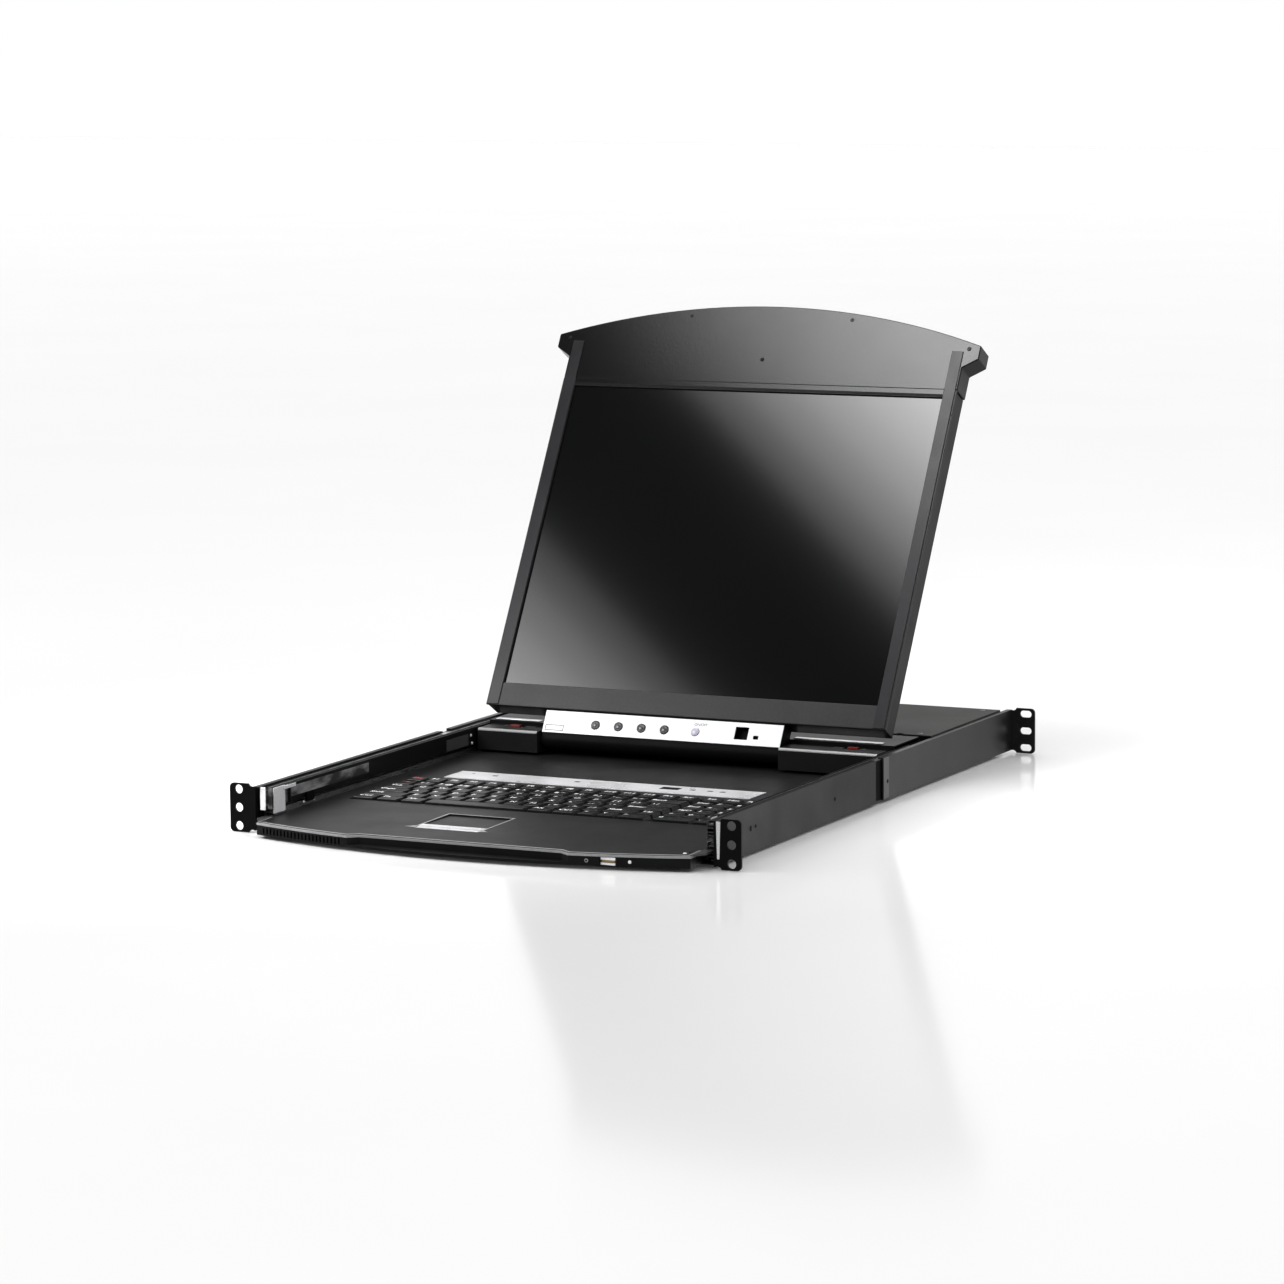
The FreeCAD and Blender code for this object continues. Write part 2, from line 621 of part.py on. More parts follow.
def main_board():
    """Board with three chips, on six-sided spacers that stand on the chassis floor."""
    board = new_body("main_board")
    rear = PANEL_FRONT + " - board_gap"
    extrude(board, "top", [box_outline("board_left", "board_right", "board_front", rear)],
            BOARD_FOOT, BOARD_TOP)
    chips = []
    for place, width in ((85, 28), (145, 20), (205, 34)):
        chips.append(box_outline("board_left + %d" % place, "board_left + %d" % (place + width),
                                 "board_front + 18", "board_front + %d" % (18 + width)))
    extrude(board, "top", chips, BOARD_TOP, BOARD_TOP + " + chip_height")
    spacers = [hexagon(x, y, "standoff_width")
               for x in ("(board_left + 10)", "(board_left + board_right) / 2",
                         "(board_right - 10)")
               for y in ("(board_front + 10)", "(%s - 10)" % rear)]
    extrude(board, "top", spacers, FLOOR_TOP, BOARD_FOOT)


def power_supply():
    supply = new_body("power_supply")
    top = FLOOR_TOP + " + supply_height"
    case = box_outline("supply_left", "supply_right", "supply_front", "supply_rear")
    extrude(supply, "top", [case], FLOOR_TOP, top)
    vents = []
    for index in range(11):
        left = "supply_left + 16 + %d * 2 * supply_vent" % index
        vents.append(box_outline(left, left + " + supply_vent", "supply_front + 8",
                                 "supply_rear - 8"))
    extrude(supply, "top", vents, top + " - 2", top + " + 1", cut=True)


def d_sub(name, place):
    """A D-shaped connector: a block on the board, and the D shell that passes the panel."""
    shell = new_body(name + "_shell", own=False)
    low = PORT_LEVEL + " - d_half_height"
    high = PORT_LEVEL + " + d_half_height"
    outline = [(place + " - d_half_width + d_slant", low), (place + " + d_half_width - d_slant", low),
               (place + " + d_half_width", high), (place + " - d_half_width", high)]
    extrude(shell, "front", [outline], PANEL_FRONT + " - 3", "chassis_end + 5.5")
    body = block(name + "_block", place + " - d_half_width - 5", place + " + d_half_width + 5",
                 PANEL_FRONT + " - 18", PANEL_FRONT + " - 2", BOARD_TOP, PORT_LEVEL + " + 6")
    return joined(name, [body, shell])


def rear_connectors():
    pieces = []
    for index in range(int(number_of("port_count"))):
        pieces.append(d_sub("computer_port_%d" % (index + 1), computer_port_place(index)))
    pieces.append(d_sub("screen_port", CONSOLE_PORT_PLACES[0]))
    for number, place in enumerate(CONSOLE_PORT_PLACES[1:], start=1):
        name = "console_port_%d" % number
        left = place + " - console_half_width"
        right = place + " + console_half_width"
        low = PORT_LEVEL + " - console_half_height"
        high = PORT_LEVEL + " + console_half_height"
        outer = block(name + "_shell", left, right, PANEL_FRONT + " - 14", "chassis_end + 1", low,
                      high)
        foot = block(name + "_foot", left, right, PANEL_FRONT + " - 14", PANEL_FRONT + " - 1",
                     BOARD_TOP, low)
        hollow = block(name + "_hollow", left + " + console_wall", right + " - console_wall",
                       "chassis_end - 11", "chassis_end + 2", low + " + console_wall",
                       high + " - console_wall")
        tongue = block(name + "_tongue", left + " + 2 * console_wall",
                       right + " - 2 * console_wall", "chassis_end - 12", "chassis_end - 1",
                       PORT_LEVEL + " + 0.2", PORT_LEVEL + " + 1.8")
        pieces.append(joined(name, [carved(name + "_case", outer, [hollow]), tongue, foot]))
    finished("rear_connectors", grouped("rear_connectors", pieces))


def power_inlet():
    """Mains inlet and the well of the power rocker, moulded as one module."""
    left = "inlet_place - inlet_width / 2"
    right = "rocker_place + rocker_width / 2 + 2"
    high = "inlet_height / 2 + 1"
    case = block("inlet_case", left, right, PANEL_FRONT + " - 18", "chassis_end", "-(" + high + ")",
                 high)
    rim = block("inlet_edge", left + " - inlet_rim", right + " + inlet_rim", "chassis_end",
                "chassis_end + inlet_rim", "-(" + high + ") - inlet_rim", high + " + inlet_rim")
    cavity = block("inlet_cavity", "inlet_place - inlet_cavity_width / 2",
                   "inlet_place + inlet_cavity_width / 2", "chassis_end - 14", "chassis_end + 3",
                   "-inlet_cavity_height / 2", "inlet_cavity_height / 2")
    well = block("rocker_well", "rocker_place - rocker_width / 2 - 0.3",
                 "rocker_place + rocker_width / 2 + 0.3", "chassis_end - 9", "chassis_end + 3",
                 "-rocker_height / 2 - 0.3", "rocker_height / 2 + 0.3")
    shell = carved("inlet_shell", joined("inlet_outer", [case, rim]), [cavity, well])
    pins = []
    for index, (x, z) in enumerate((("-7", "-3.5"), ("0", "0.5"), ("7", "-3.5"))):
        pins.append(block("inlet_pin_%d" % index, "inlet_place + %s - 1" % x,
                          "inlet_place + %s + 1" % x, "chassis_end - 15", "chassis_end - 1",
                          "%s - 2" % z, "%s + 2" % z))
    finished("power_inlet", joined("power_inlet", [shell] + pins))


def power_rocker():
    """A rocker with two sloping faces, pivoted across its middle."""
    rocker = new_body("power_rocker")
    tall = "rocker_height / 2 - 0.3"
    outline = [("chassis_end - 5", "-(" + tall + ") + 1.5"), ("chassis_end - 5", tall + " - 1.5"),
               ("chassis_end + 3.2", tall + " - 0.6"), ("chassis_end + 1.2", "0 * rocker_height"),
               ("chassis_end + 1.2", "-(" + tall + ") + 0.6")]
    low = "rocker_place - rocker_width / 2 + 0.3"
    high = "rocker_place + rocker_width / 2 - 0.3"
    extrude(rocker, "side", [outline], low, high)
    for start, end in ((low + " - 0.5", low), (high, high + " + 0.5")):
        extrude(rocker, "side", [hexagon("chassis_end - 1.5", "0 * rocker_height", "2.8")], start, end)


# ---------------------------------------------------------------------------------------------
# Telescopic ball slides.  Depths run inwards from the chassis wall, levels from the centre line.
# ---------------------------------------------------------------------------------------------

SLIDES = {"lcd": "(lcd_slide_foot + slide_height / 2)",
          "keyboard": "(keyboard_slide_head - slide_height / 2)"}
OUTER_RACE = "(slide_height / 2 - slide_sheet)"
BALL_LEVEL = "(slide_height / 2 - slide_sheet - race_clearance - ball_radius)"
MIDDLE_TOP = "(slide_height / 2 - slide_sheet - 2 * race_clearance - 2 * ball_radius)"
INNER_RACE = "(slide_height / 2 - 2 * slide_sheet - 2 * race_clearance - 2 * ball_radius)"
SMALL_BALL_LEVEL = "(" + INNER_RACE + " - race_clearance - small_ball_radius)"
INNER_TOP = "(" + INNER_RACE + " - 2 * race_clearance - 2 * small_ball_radius)"
OUTER_LANE = ("middle_web", "(outer_flange - lip_sheet)")
MIDDLE_REACH = "(slide_thickness - inner_sheet - middle_gap)"
INNER_LANE = ("inner_start", "(%s - lip_sheet)" % MIDDLE_REACH)
CAGE_START = "(slide_start + cage_offset)"
BALLS_PER_STRIP = 3
BALL_SIDES = 6


def slide_outline(side, level, half):
    """A channel section from the points of its upper half, given as (depth, height)."""
    lower = [(depth, minus(height)) for depth, height in reversed(half)]
    points = [("%s - (%s)" % (CHASSIS_IN, depth), "%s + %s" % (level, height))
              for depth, height in half + lower]
    return to_side(side, points)


def slide_members(label, half, slides):
    """The same member of the left and right slide, as one sub-part of separate solids."""
    members = []
    for slide in slides:
        for side in SIDES:
            member = new_body("%s_%s_%s" % (label, slide, side), own=False)
            outline = slide_outline(side, SLIDES[slide], half)
            extrude(member, "front", [outline], "slide_start", SLIDE_END)
            members.append(member)
    finished(label, grouped(label, members))


def outer_slides():
    """Outer channels, riveted to the chassis walls, with lips that hold the balls."""
    top = "slide_height / 2"
    lip_foot = OUTER_RACE + " - outer_lip"
    half = [("0 * slide_sheet", top), ("outer_flange", top), ("outer_flange", lip_foot),
            ("outer_flange - lip_sheet", lip_foot), ("outer_flange - lip_sheet", OUTER_RACE),
            ("slide_sheet", OUTER_RACE)]
    slide_members("slide_outer_members", half, ("lcd", "keyboard"))


def middle_slides(slide):
    """Middle channel: the outer balls run on its back, the inner balls inside it."""
    lip_foot = INNER_RACE + " - middle_lip"
    lip = MIDDLE_REACH + " - lip_sheet"
    half = [("middle_web", MIDDLE_TOP), (MIDDLE_REACH, MIDDLE_TOP), (MIDDLE_REACH, lip_foot),
            (lip, lip_foot), (lip, INNER_RACE), ("middle_web + slide_sheet", INNER_RACE)]
    slide_members(slide + "_slide_middle", half, (slide,))


def inner_slides(slide):
    """Inner channel with a wide face plate that carries the drawer."""
    web = "slide_thickness - inner_sheet"
    flange_foot = INNER_TOP + " - inner_sheet"
    half = [(web, flange_foot), ("inner_start", flange_foot), ("inner_start", INNER_TOP),
            (web, INNER_TOP), (web, "face_half_height"), ("slide_thickness", "face_half_height")]
    slide_members(slide + "_slide_inner", half, (slide,))


def ball(name, x, y, z, radius):
    """A ball with few faces: three rings of a few sides, joined by flat faces."""
    rings = []
    for level, share in ((-1, 0.5), (0, 1), (1, 0.5)):
        ring = doc.addObject("Part::RegularPolygon", name + "_ring")
        ring.Polygon = BALL_SIDES
        ring.setExpression("Circumradius", sized("%s * %s" % (radius, share)))
        for letter, formula in (("x", x), ("y", y), ("z", "%s + %d * %s" % (z, level, radius))):
            ring.setExpression("Placement.Base." + letter, sized(formula))
        rings.append(ring)
    solid = doc.addObject("Part::Loft", name)
    solid.Sections = rings
    solid.Solid = True
    solid.Ruled = True
    return solid


def ball_cages(slide, race, level, lane, radius):
    """Strips that space the balls in a lane between two members, above and below the middle."""
    strips = []
    near, far = lane
    middle_depth = "(%s + %s) / 2" % (near, far)
    for side in SIDES:
        for place, sign in (("upper", "+"), ("lower", "-")):
            name = "%s_%s_cage_%s_%s" % (slide, race, side, place)
            middle = "%s %s %s" % (SLIDES[slide], sign, level)
            inner, outer = span(side, "%s - %s + cage_gap" % (CHASSIS_IN, far),
                                "%s - %s - cage_gap" % (CHASSIS_IN, near))
            strip = block(name + "_strip", inner, outer, CAGE_START, CAGE_START + " + cage_length",
                          middle + " - cage_sheet / 2", middle + " + cage_sheet / 2")
            x = "%s - %s" % (CHASSIS_IN, middle_depth)
            balls = []
            for index in range(BALLS_PER_STRIP):
                y = "%s + cage_length * %s" % (CAGE_START, (index + 0.5) / BALLS_PER_STRIP)
                balls.append(ball("%s_ball_%d" % (name, index), x if side == "right" else minus(x),
                                  y, middle, radius))
            strips.append(joined(name, [strip] + balls))
    label = "%s_slide_%s_cage" % (slide, race)
    finished(label, grouped(label, strips))


# ---------------------------------------------------------------------------------------------
# Keyboard drawer
# ---------------------------------------------------------------------------------------------

TRAY_FRONT = "fascia_rear"
TRAY_WALL_IN = "(%s - tray_sheet)" % DRAWER_HALF
GRIP_END = "(grip_half_width + grip_slant)"


DRAWER_APEX = "(drawer_front_end - %s)" % arch_sag(DRAWER_HALF)


def drawer_front(half_chord):
    """Front edge of the drawer's arch at a distance from the middle plane."""
    return "(%s + %s)" % (DRAWER_APEX, arch_sag(half_chord))


GRIP_REAR = "(%s + grip_depth)" % drawer_front(GRIP_END)


def drawer_outline(rear, notched):
    """Top view of the drawer's front part, with or without the hand grip's notch."""
    half = DRAWER_HALF
    side_front = drawer_front(half)
    if not notched:
        return [(minus(half), rear), (minus(half), side_front, "arch_radius"), (half, side_front),
                (half, rear)]
    grip_front = drawer_front(GRIP_END)
    return [(minus(half), rear), (minus(half), side_front, "arch_radius"),
            (minus(GRIP_END), grip_front), ("-grip_half_width", GRIP_REAR),
            ("grip_half_width", GRIP_REAR), (GRIP_END, grip_front, "arch_radius"),
            (half, side_front), (half, rear)]


def keyboard_tray():
    """Folded bottom tray of the keyboard drawer."""
    tray = new_body("keyboard_tray")
    outline = box_outline(minus(DRAWER_HALF), DRAWER_HALF, TRAY_FRONT, "drawer_end")
    extrude(tray, "top", [outline], "drawer_foot", "deck_foot")
    inside = box_outline(minus(TRAY_WALL_IN), TRAY_WALL_IN, TRAY_FRONT + " + tray_sheet",
                         "drawer_end - tray_sheet")
    extrude(tray, "top", [inside], "drawer_foot + tray_sheet", "deck_foot + 1", cut=True)


def front_fascia():
    """Arched front: a full lower lip, and an upper face with the hand grip's notch and vents."""
    body = new_body("front_fascia_body", own=False)
    lip_top = "fascia_foot + grip_lip"
    extrude(body, "top", [drawer_outline("fascia_rear", False)], "fascia_foot", lip_top)
    extrude(body, "top", [drawer_outline("fascia_rear", True)], lip_top, "deck_foot")
    front = drawer_front("usb_place")
    tools = [block("usb_hole", "usb_place - usb_width / 2", "usb_place + usb_width / 2",
                   front + " - 3", "fascia_rear + 1", "usb_level - usb_height / 2",
                   "usb_level + usb_height / 2")]
    for index in range(22):
        place = "(%d * 4 - 196)" % index
        tools.append(block("vent_%d" % index, place + " - 0.9", place + " + 0.9",
                           drawer_front(place) + " - 2", drawer_front(place) + " + 2.5",
                           "fascia_foot + 1.6", "deck_foot - 1.4"))
    finished("front_fascia", carved("front_fascia", body, tools))


WELL_LEFT = "keys_left - well_gap"
WELL_RIGHT = "keys_left + 19.25 * key_pitch + well_gap"
WELL_FRONT = "keys_front - well_gap"
WELL_REAR = "keys_front + 6 * key_pitch + function_gap + well_gap"
PAD_RIGHT = "touchpad_left + touchpad_width"
PAD_REAR = "touchpad_front + touchpad_depth"
PAD_TOP = "(deck_front_top + 0.7)"
PAD_FLOOR = "(deck_front_top + 0.7 - touchpad_recess)"


def keyboard_deck():
    """Top cover of the drawer: palm rest sloping to the front, key well and touchpad recess."""
    deck = new_body("keyboard_deck")
    extrude(deck, "top", [drawer_outline("drawer_end", True)], "deck_foot", "deck_top")
    fall = "(deck_top - deck_front_top) / (palm_rear - %s)" % DRAWER_APEX
    beyond = DRAWER_APEX + " - 10"
    slope = [("palm_rear", "deck_top"), ("palm_rear", "deck_top + 1"), (beyond, "deck_top + 1"),
             (beyond, "deck_front_top - 10 * " + fall)]
    extrude(deck, "side", [slope], minus(DRAWER_HALF + " + 1"), DRAWER_HALF + " + 1", cut=True)
    well = box_outline(WELL_LEFT, WELL_RIGHT, WELL_FRONT, WELL_REAR)
    extrude(deck, "top", [well], "deck_foot - 1", "deck_top + 1", cut=True)
    recess = box_outline("touchpad_left - 0.3", PAD_RIGHT + " + 0.3", "touchpad_front - 0.3",
                         PAD_REAR + " + 0.3")
    extrude(deck, "top", [recess], PAD_FLOOR, "deck_top + 1", cut=True)


KEY_ROWS = {
    "space": [1.25, 1.25, 1.25, 5.25, 1.25, 1.25, 1, 1, 1.5, -0.25, 2, 1, 1],
    "lower": [2.25] + [1] * 10 + [1.75, 1, -0.25, 1, 1, 1, 1],
    "home": [1.75] + [1] * 11 + [2.25, -0.25, 1, 1, 1, 1],
    "upper": [1.5] + [1] * 12 + [1.5, -0.25, 1, 1, 1, 1],
    "number": [1] * 13 + [2, -0.25, 1, 1, 1, 1],
    "function": [1] * 15 + [-0.25, 1, 1, 1, 1],
}
ROW_ORDER = ("space", "lower", "home", "upper", "number", "function")


def row_front(index):
    gap = " + function_gap" if ROW_ORDER[index] == "function" else ""
    return "(keys_front + %d * key_pitch%s)" % (index, gap)


def key(name, left, front, units):
    """A key cap that narrows upwards, on its stem."""
    cap = doc.addObject("Part::Wedge", name + "_cap")
    width = "(%s * key_pitch - key_gap)" % units
    depth = "(key_pitch - key_gap)"
    extents = (("Xmin", "0"), ("Xmax", width), ("Ymin", "0"), ("Ymax", "key_top - key_foot"),
               ("Zmin", minus(depth)), ("Zmax", "0"), ("X2min", "key_taper"),
               ("X2max", width + " - key_taper"), ("Z2min", minus(depth) + " + key_taper"),
               ("Z2max", "-key_taper * 0.6"))
    for extent, formula in extents:
        if any(letter.isalpha() for letter in formula):
            cap.setExpression(extent, sized(formula))
        else:
            setattr(cap, extent, float(formula))
    cap.Placement = Placement(Vector(), Rotation(AXES["x"], 90))
    cap.setExpression("Placement.Base.x", sized(left + " + key_gap / 2"))
    cap.setExpression("Placement.Base.y", sized(front + " + key_gap / 2"))
    cap.setExpression("Placement.Base.z", sized("key_foot"))
    middle_x = "%s + %s * key_pitch / 2" % (left, units)
    middle_y = "%s + key_pitch / 2" % front
    stem = block(name + "_stem", middle_x + " - stem_width / 2", middle_x + " + stem_width / 2",
                 middle_y + " - stem_width / 2", middle_y + " + stem_width / 2",
                 "key_foot - stem_length", "key_foot")
    return joined(name, [cap, stem])


def key_rows():
    """Each row of keys is one sub-part of separate keys; a negative width is a gap."""
    for index, row in enumerate(ROW_ORDER):
        keys = []
        along = 0.0
        for number, units in enumerate(KEY_ROWS[row], start=1):
            if units > 0:
                left = "(keys_left + %s * key_pitch)" % along
                keys.append(key("%s_key_%d" % (row, number), left, row_front(index), units))
            along += abs(units)
        label = "key_row_" + row
        finished(label, grouped(label, keys))


def key_guide_plate():
    """Plate under the deck with a groove for the stems of each row."""
    plate = block("guide_blank", WELL_LEFT + " - guide_margin", WELL_RIGHT + " + guide_margin",
                  WELL_FRONT + " - guide_margin", WELL_REAR + " + guide_margin",
                  "deck_foot - guide_thickness", "deck_foot")
    grooves = []
    for index, row in enumerate(ROW_ORDER):
        middle = row_front(index) + " + key_pitch / 2"
        half = "(stem_width / 2 + stem_gap)"
        grooves.append(block("groove_" + row, WELL_LEFT, WELL_RIGHT, "%s - %s" % (middle, half),
                             "%s + %s" % (middle, half),
                             "key_foot - stem_length - key_travel - stem_gap", "deck_foot + 1"))
    finished("key_guide_plate", carved("key_guide_plate", plate, grooves))


def touchpad():
    pad = new_body("touchpad")
    front = "touchpad_front + touchpad_button_depth + 0.3"
    extrude(pad, "top", [box_outline("touchpad_left", PAD_RIGHT, front, PAD_REAR)], PAD_FLOOR,
            PAD_TOP)
    middle = "touchpad_left + touchpad_width / 2"
    ends = {"left": ("touchpad_left", middle + " - 0.3"), "right": (middle + " + 0.3", PAD_RIGHT)}
    for side in SIDES:
        button = new_body("touchpad_button_" + side)
        left, right = ends[side]
        outline = box_outline(left, right, "touchpad_front",
                              "touchpad_front + touchpad_button_depth")
        extrude(button, "top", [outline], PAD_FLOOR + " + touchpad_travel + 0.2", PAD_TOP + " + 0.3")


def port_strip():
    """Bright strip behind the keys, with a small display window."""
    strip = new_body("port_strip")
    right = "port_strip_left + port_strip_length"
    rear = "port_strip_front + port_strip_depth"
    extrude(strip, "top", [box_outline("port_strip_left", right, "port_strip_front", rear)],
            "deck_top", "deck_top + port_strip_sheet")
    window = box_outline("port_strip_left + 206", "port_strip_left + 222",
                         "port_strip_front + 18", "port_strip_front + 26")
    extrude(strip, "top", [window], "deck_top + 0.2", "deck_top + 1.5", cut=True)


def usb_socket():
    front = drawer_front("usb_place") + " + 0.4"
    rear = "(" + front + " + usb_depth)"
    level = "usb_level"
    shell = block("usb_shell", "usb_place - usb_width / 2", "usb_place + usb_width / 2", front, rear,
                  level + " - usb_height / 2", level + " + usb_height / 2")
    hollow = block("usb_hollow", "usb_place - usb_width / 2 + 0.6",
                   "usb_place + usb_width / 2 - 0.6", front + " - 1", rear + " - 2",
                   level + " - usb_height / 2 + 0.6", level + " + usb_height / 2 - 0.6")
    tongue = block("usb_tongue", "usb_place - 5.4", "usb_place + 5.4", front + " + 1", rear + " - 1",
                   level + " + 1.4", level + " + 2.7")
    finished("usb_socket", joined("usb_socket", [carved("usb_case", shell, [hollow]), tongue]))


# ---------------------------------------------------------------------------------------------
# Screen carriage, hinges and release catches
# ---------------------------------------------------------------------------------------------

ARM_OUT = SLIDE_FACE
ARM_IN = "(%s - chassis_sheet)" % SLIDE_FACE
ARM_START = "(slide_start + 24)"
ARM_FOOT = "(lcd_slide_foot + 0.2)"
ARM_TOP = "(lcd_slide_foot + slide_height)"
BLOCK_START = {"left": "(-strip_left + block_gap)", "right": "(strip_right + block_gap)"}
BARREL_END = {"left": "-strip_left - 0.5", "right": "strip_right - 0.5"}
CATCH_PLACE = {"left": "172", "right": "167"}


def carriage_frame():
    """Two arms on the screen slides, joined behind the hinges by a folded cross beam."""
    frame = new_body("carriage_frame")
    inside = "block_rear + chassis_sheet"
    section = [("block_rear", ARM_FOOT), (inside, ARM_FOOT), (inside, "beam_top - chassis_sheet"),
               ("beam_end - chassis_sheet", "beam_top - chassis_sheet"),
               ("beam_end - chassis_sheet", ARM_FOOT), ("beam_end", ARM_FOOT),
               ("beam_end", "beam_top"), ("block_rear", "beam_top")]
    extrude(frame, "side", [section], minus(ARM_IN), ARM_IN)
    for side in SIDES:
        low, high = span(side, ARM_IN, ARM_OUT)
        extrude(frame, "side", [box_outline(ARM_START, "beam_end", ARM_FOOT, ARM_TOP)], low, high)


def hinge_block(side):
    """Block on the carriage that holds a hinge pin, with a slot for the release catch."""
    hinge = new_body("hinge_block_" + side)
    section = [("block_front", "block_foot"), ("block_rear", "block_foot"),
               ("block_rear", "block_top"), ("block_front + 1.2", "block_top"),
               ("block_front", "block_top - 1.2")]
    low, high = span(side, BLOCK_START[side], "block_end")
    extrude(hinge, "side", [section], low, high)
    low, high = span(side, BLOCK_START[side] + " - 1", BLOCK_START[side] + " + 26")
    extrude(hinge, "side", [], low, high, cut=True,
            circles=[("hinge_depth", "hinge_level", "pin_radius")])
    place = CATCH_PLACE[side]
    low, high = span(side, place + " - 9.3", place + " + 5.3")
    slot = box_outline(low, high, "block_rear - 10.3", "block_rear - 3.7")
    extrude(hinge, "top", [slot], "block_top - 3", "block_top + 1", cut=True)


def hinge_pins():
    pins = []
    for side in SIDES:
        start = BARREL_END[side] + " - 20"
        length = "block_gap + 0.5 + 20 + 25"
        place = minus("%s + %s" % (start, length)) if side == "left" else start
        pins.append(cylinder("hinge_pin_" + side, "x", place, "hinge_depth", "hinge_level",
                             "pin_radius", length))
    finished("hinge_pins", grouped("hinge_pins", pins))


def latch_bars():
    """Bright bars on the carriage behind the hinge blocks."""
    bars = []
    for side, inner, outer in (("left", "153", "198"), ("right", "104", "190")):
        low, high = span(side, inner, outer)
        bars.append(block("latch_bar_" + side, low, high, "block_rear + 3", "block_rear + 10",
                          "beam_top", "beam_top + 1"))
    finished("latch_bars", grouped("latch_bars", bars))


def release_catch(side):
    """Sliding catch in the top of a hinge block."""
    place = CATCH_PLACE[side]
    low, high = span(side, place + " - 5", place + " + 5")
    catch = new_body("release_catch_" + side)
    outline = box_outline(low, high, "block_rear - 10", "block_rear - 4")
    extrude(catch, "top", [outline], "block_top - 2.7", "block_top + 1.2")


# ---------------------------------------------------------------------------------------------
# Lid.  Modelled flat: x across, y up the lid from the hinge axis, z out of the screen.
# ---------------------------------------------------------------------------------------------

LID_HALF = "lid_width / 2"
COVER_SIDE = "(lid_width / 2 - 1.5)"
COVER_HEAD = "(handle_start - 0.2)"


def lid_rear_cover():
    cover = new_body("lid_rear_cover")
    extrude(cover, "top", [box_outline(minus(COVER_SIDE), COVER_SIDE, "lid_foot", COVER_HEAD)],
            LID_BACK, BEZEL_BACK)
    inside = box_outline(minus(COVER_SIDE + " - lid_wall"), COVER_SIDE + " - lid_wall",
                         "lid_foot + lid_wall", COVER_HEAD + " - lid_wall")
    extrude(cover, "top", [inside], LID_BACK + " + lid_wall", BEZEL_BACK + " + 1", cut=True)
    on_lid(cover)


def lid_bezel():
    bezel = new_body("lid_bezel")
    extrude(bezel, "top", [box_outline(minus(LID_HALF), LID_HALF, "lid_foot", COVER_HEAD)],
            BEZEL_BACK, "lid_face")
    opening = box_outline("-screen_width / 2", "screen_width / 2", "screen_foot",
                          "screen_foot + screen_height")
    extrude(bezel, "top", [opening], BEZEL_BACK + " - 1", "lid_face + 1", cut=True)
    on_lid(bezel)


def lid_side_strips():
    """Raised strips along both sides of the screen."""
    strips = []
    for side in SIDES:
        low, high = span(side, "screen_width / 2 + 0.3", COVER_SIDE)
        strips.append(block("side_strip_" + side, low, high, "lid_foot + 0.6", "wing_foot + 7",
                            "lid_face", "lid_face + 0.8"))
    on_lid(finished("lid_side_strips", grouped("lid_side_strips", strips)))


def lcd_panel():
    panel = new_body("lcd_panel")
    extrude(panel, "top", [box_outline("-screen_width / 2 - 3", "screen_width / 2 + 3",
                                       "screen_foot - 3", "screen_foot + screen_height + 3")],
            BEZEL_BACK + " - 5.6", BEZEL_BACK)
    on_lid(panel)
    tray = new_body("backlight_tray")
    extrude(tray, "top", [box_outline("-screen_width / 2 - 4.5", "screen_width / 2 + 4.5",
                                      "screen_foot - 4.5", "screen_foot + screen_height + 3.2")],
            BEZEL_BACK + " - 11", BEZEL_BACK + " - 5.6")
    on_lid(tray)
    board = new_body("lcd_driver_board")
    extrude(board, "top", [box_outline("-80", "80", "140", "240")],
            BEZEL_BACK + " - 11 - board_thickness", BEZEL_BACK + " - 11")
    chips = [box_outline("-50", "-24", "170", "196"), box_outline("10", "40", "180", "210")]
    extrude(board, "top", chips, BEZEL_BACK + " - 11 - board_thickness - 2",
            BEZEL_BACK + " - 11 - board_thickness")
    on_lid(board)


def lid_handle():
    """Arched head of the lid with a wing at each end and a finger recess in its back."""
    handle = new_body("lid_handle")
    half = "wing_span / 2"
    wing_top = "lid_apex - " + arch_sag(half)
    slant_foot = "wing_foot - wing_slant"
    outline = [(minus(LID_HALF), "handle_start"), (LID_HALF, "handle_start"),
               (LID_HALF, slant_foot), (half, "wing_foot"), (half, wing_top, "arch_radius"),
               (minus(half), wing_top), (minus(half), "wing_foot"), (minus(LID_HALF), slant_foot)]
    extrude(handle, "top", [outline], LID_BACK, "lid_face")
    recess = box_outline("-60", "60", "lid_apex - 22", "lid_apex + 5")
    extrude(handle, "top", [recess], LID_BACK + " - 1", LID_BACK + " + 8", cut=True)
    on_lid(handle)


BUTTON_NAMES = ("menu", "right", "left", "exit")


def button_place(index):
    return "(button_first + %d * button_pitch)" % index


PORT_BOX = ("port_place - port_width / 2", "port_place + port_width / 2",
            "button_row + 1.5 - port_height / 2", "button_row + 1.5 + port_height / 2")
SWITCH_BOX = ("port_place + 12.2", "port_place + 17.2", "button_row - 3.5", "button_row")


def control_strip():
    """Bright strip below the screen, with holes for the buttons, the port and a small switch."""
    strip = new_body("control_strip")
    extrude(strip, "top", [box_outline("strip_left", "strip_right", "strip_foot", "strip_top")],
            "lid_face - strip_sheet", "lid_face")
    holes = [(button_place(index), "button_row", "button_radius + button_gap")
             for index in range(len(BUTTON_NAMES))]
    holes.append(("power_button_place", "button_row", "power_button_radius + button_gap"))
    extrude(strip, "top", [box_outline(*PORT_BOX), box_outline(*SWITCH_BOX)],
            "lid_face - strip_sheet - 1", "lid_face + 1", cut=True, circles=holes)
    on_lid(strip)


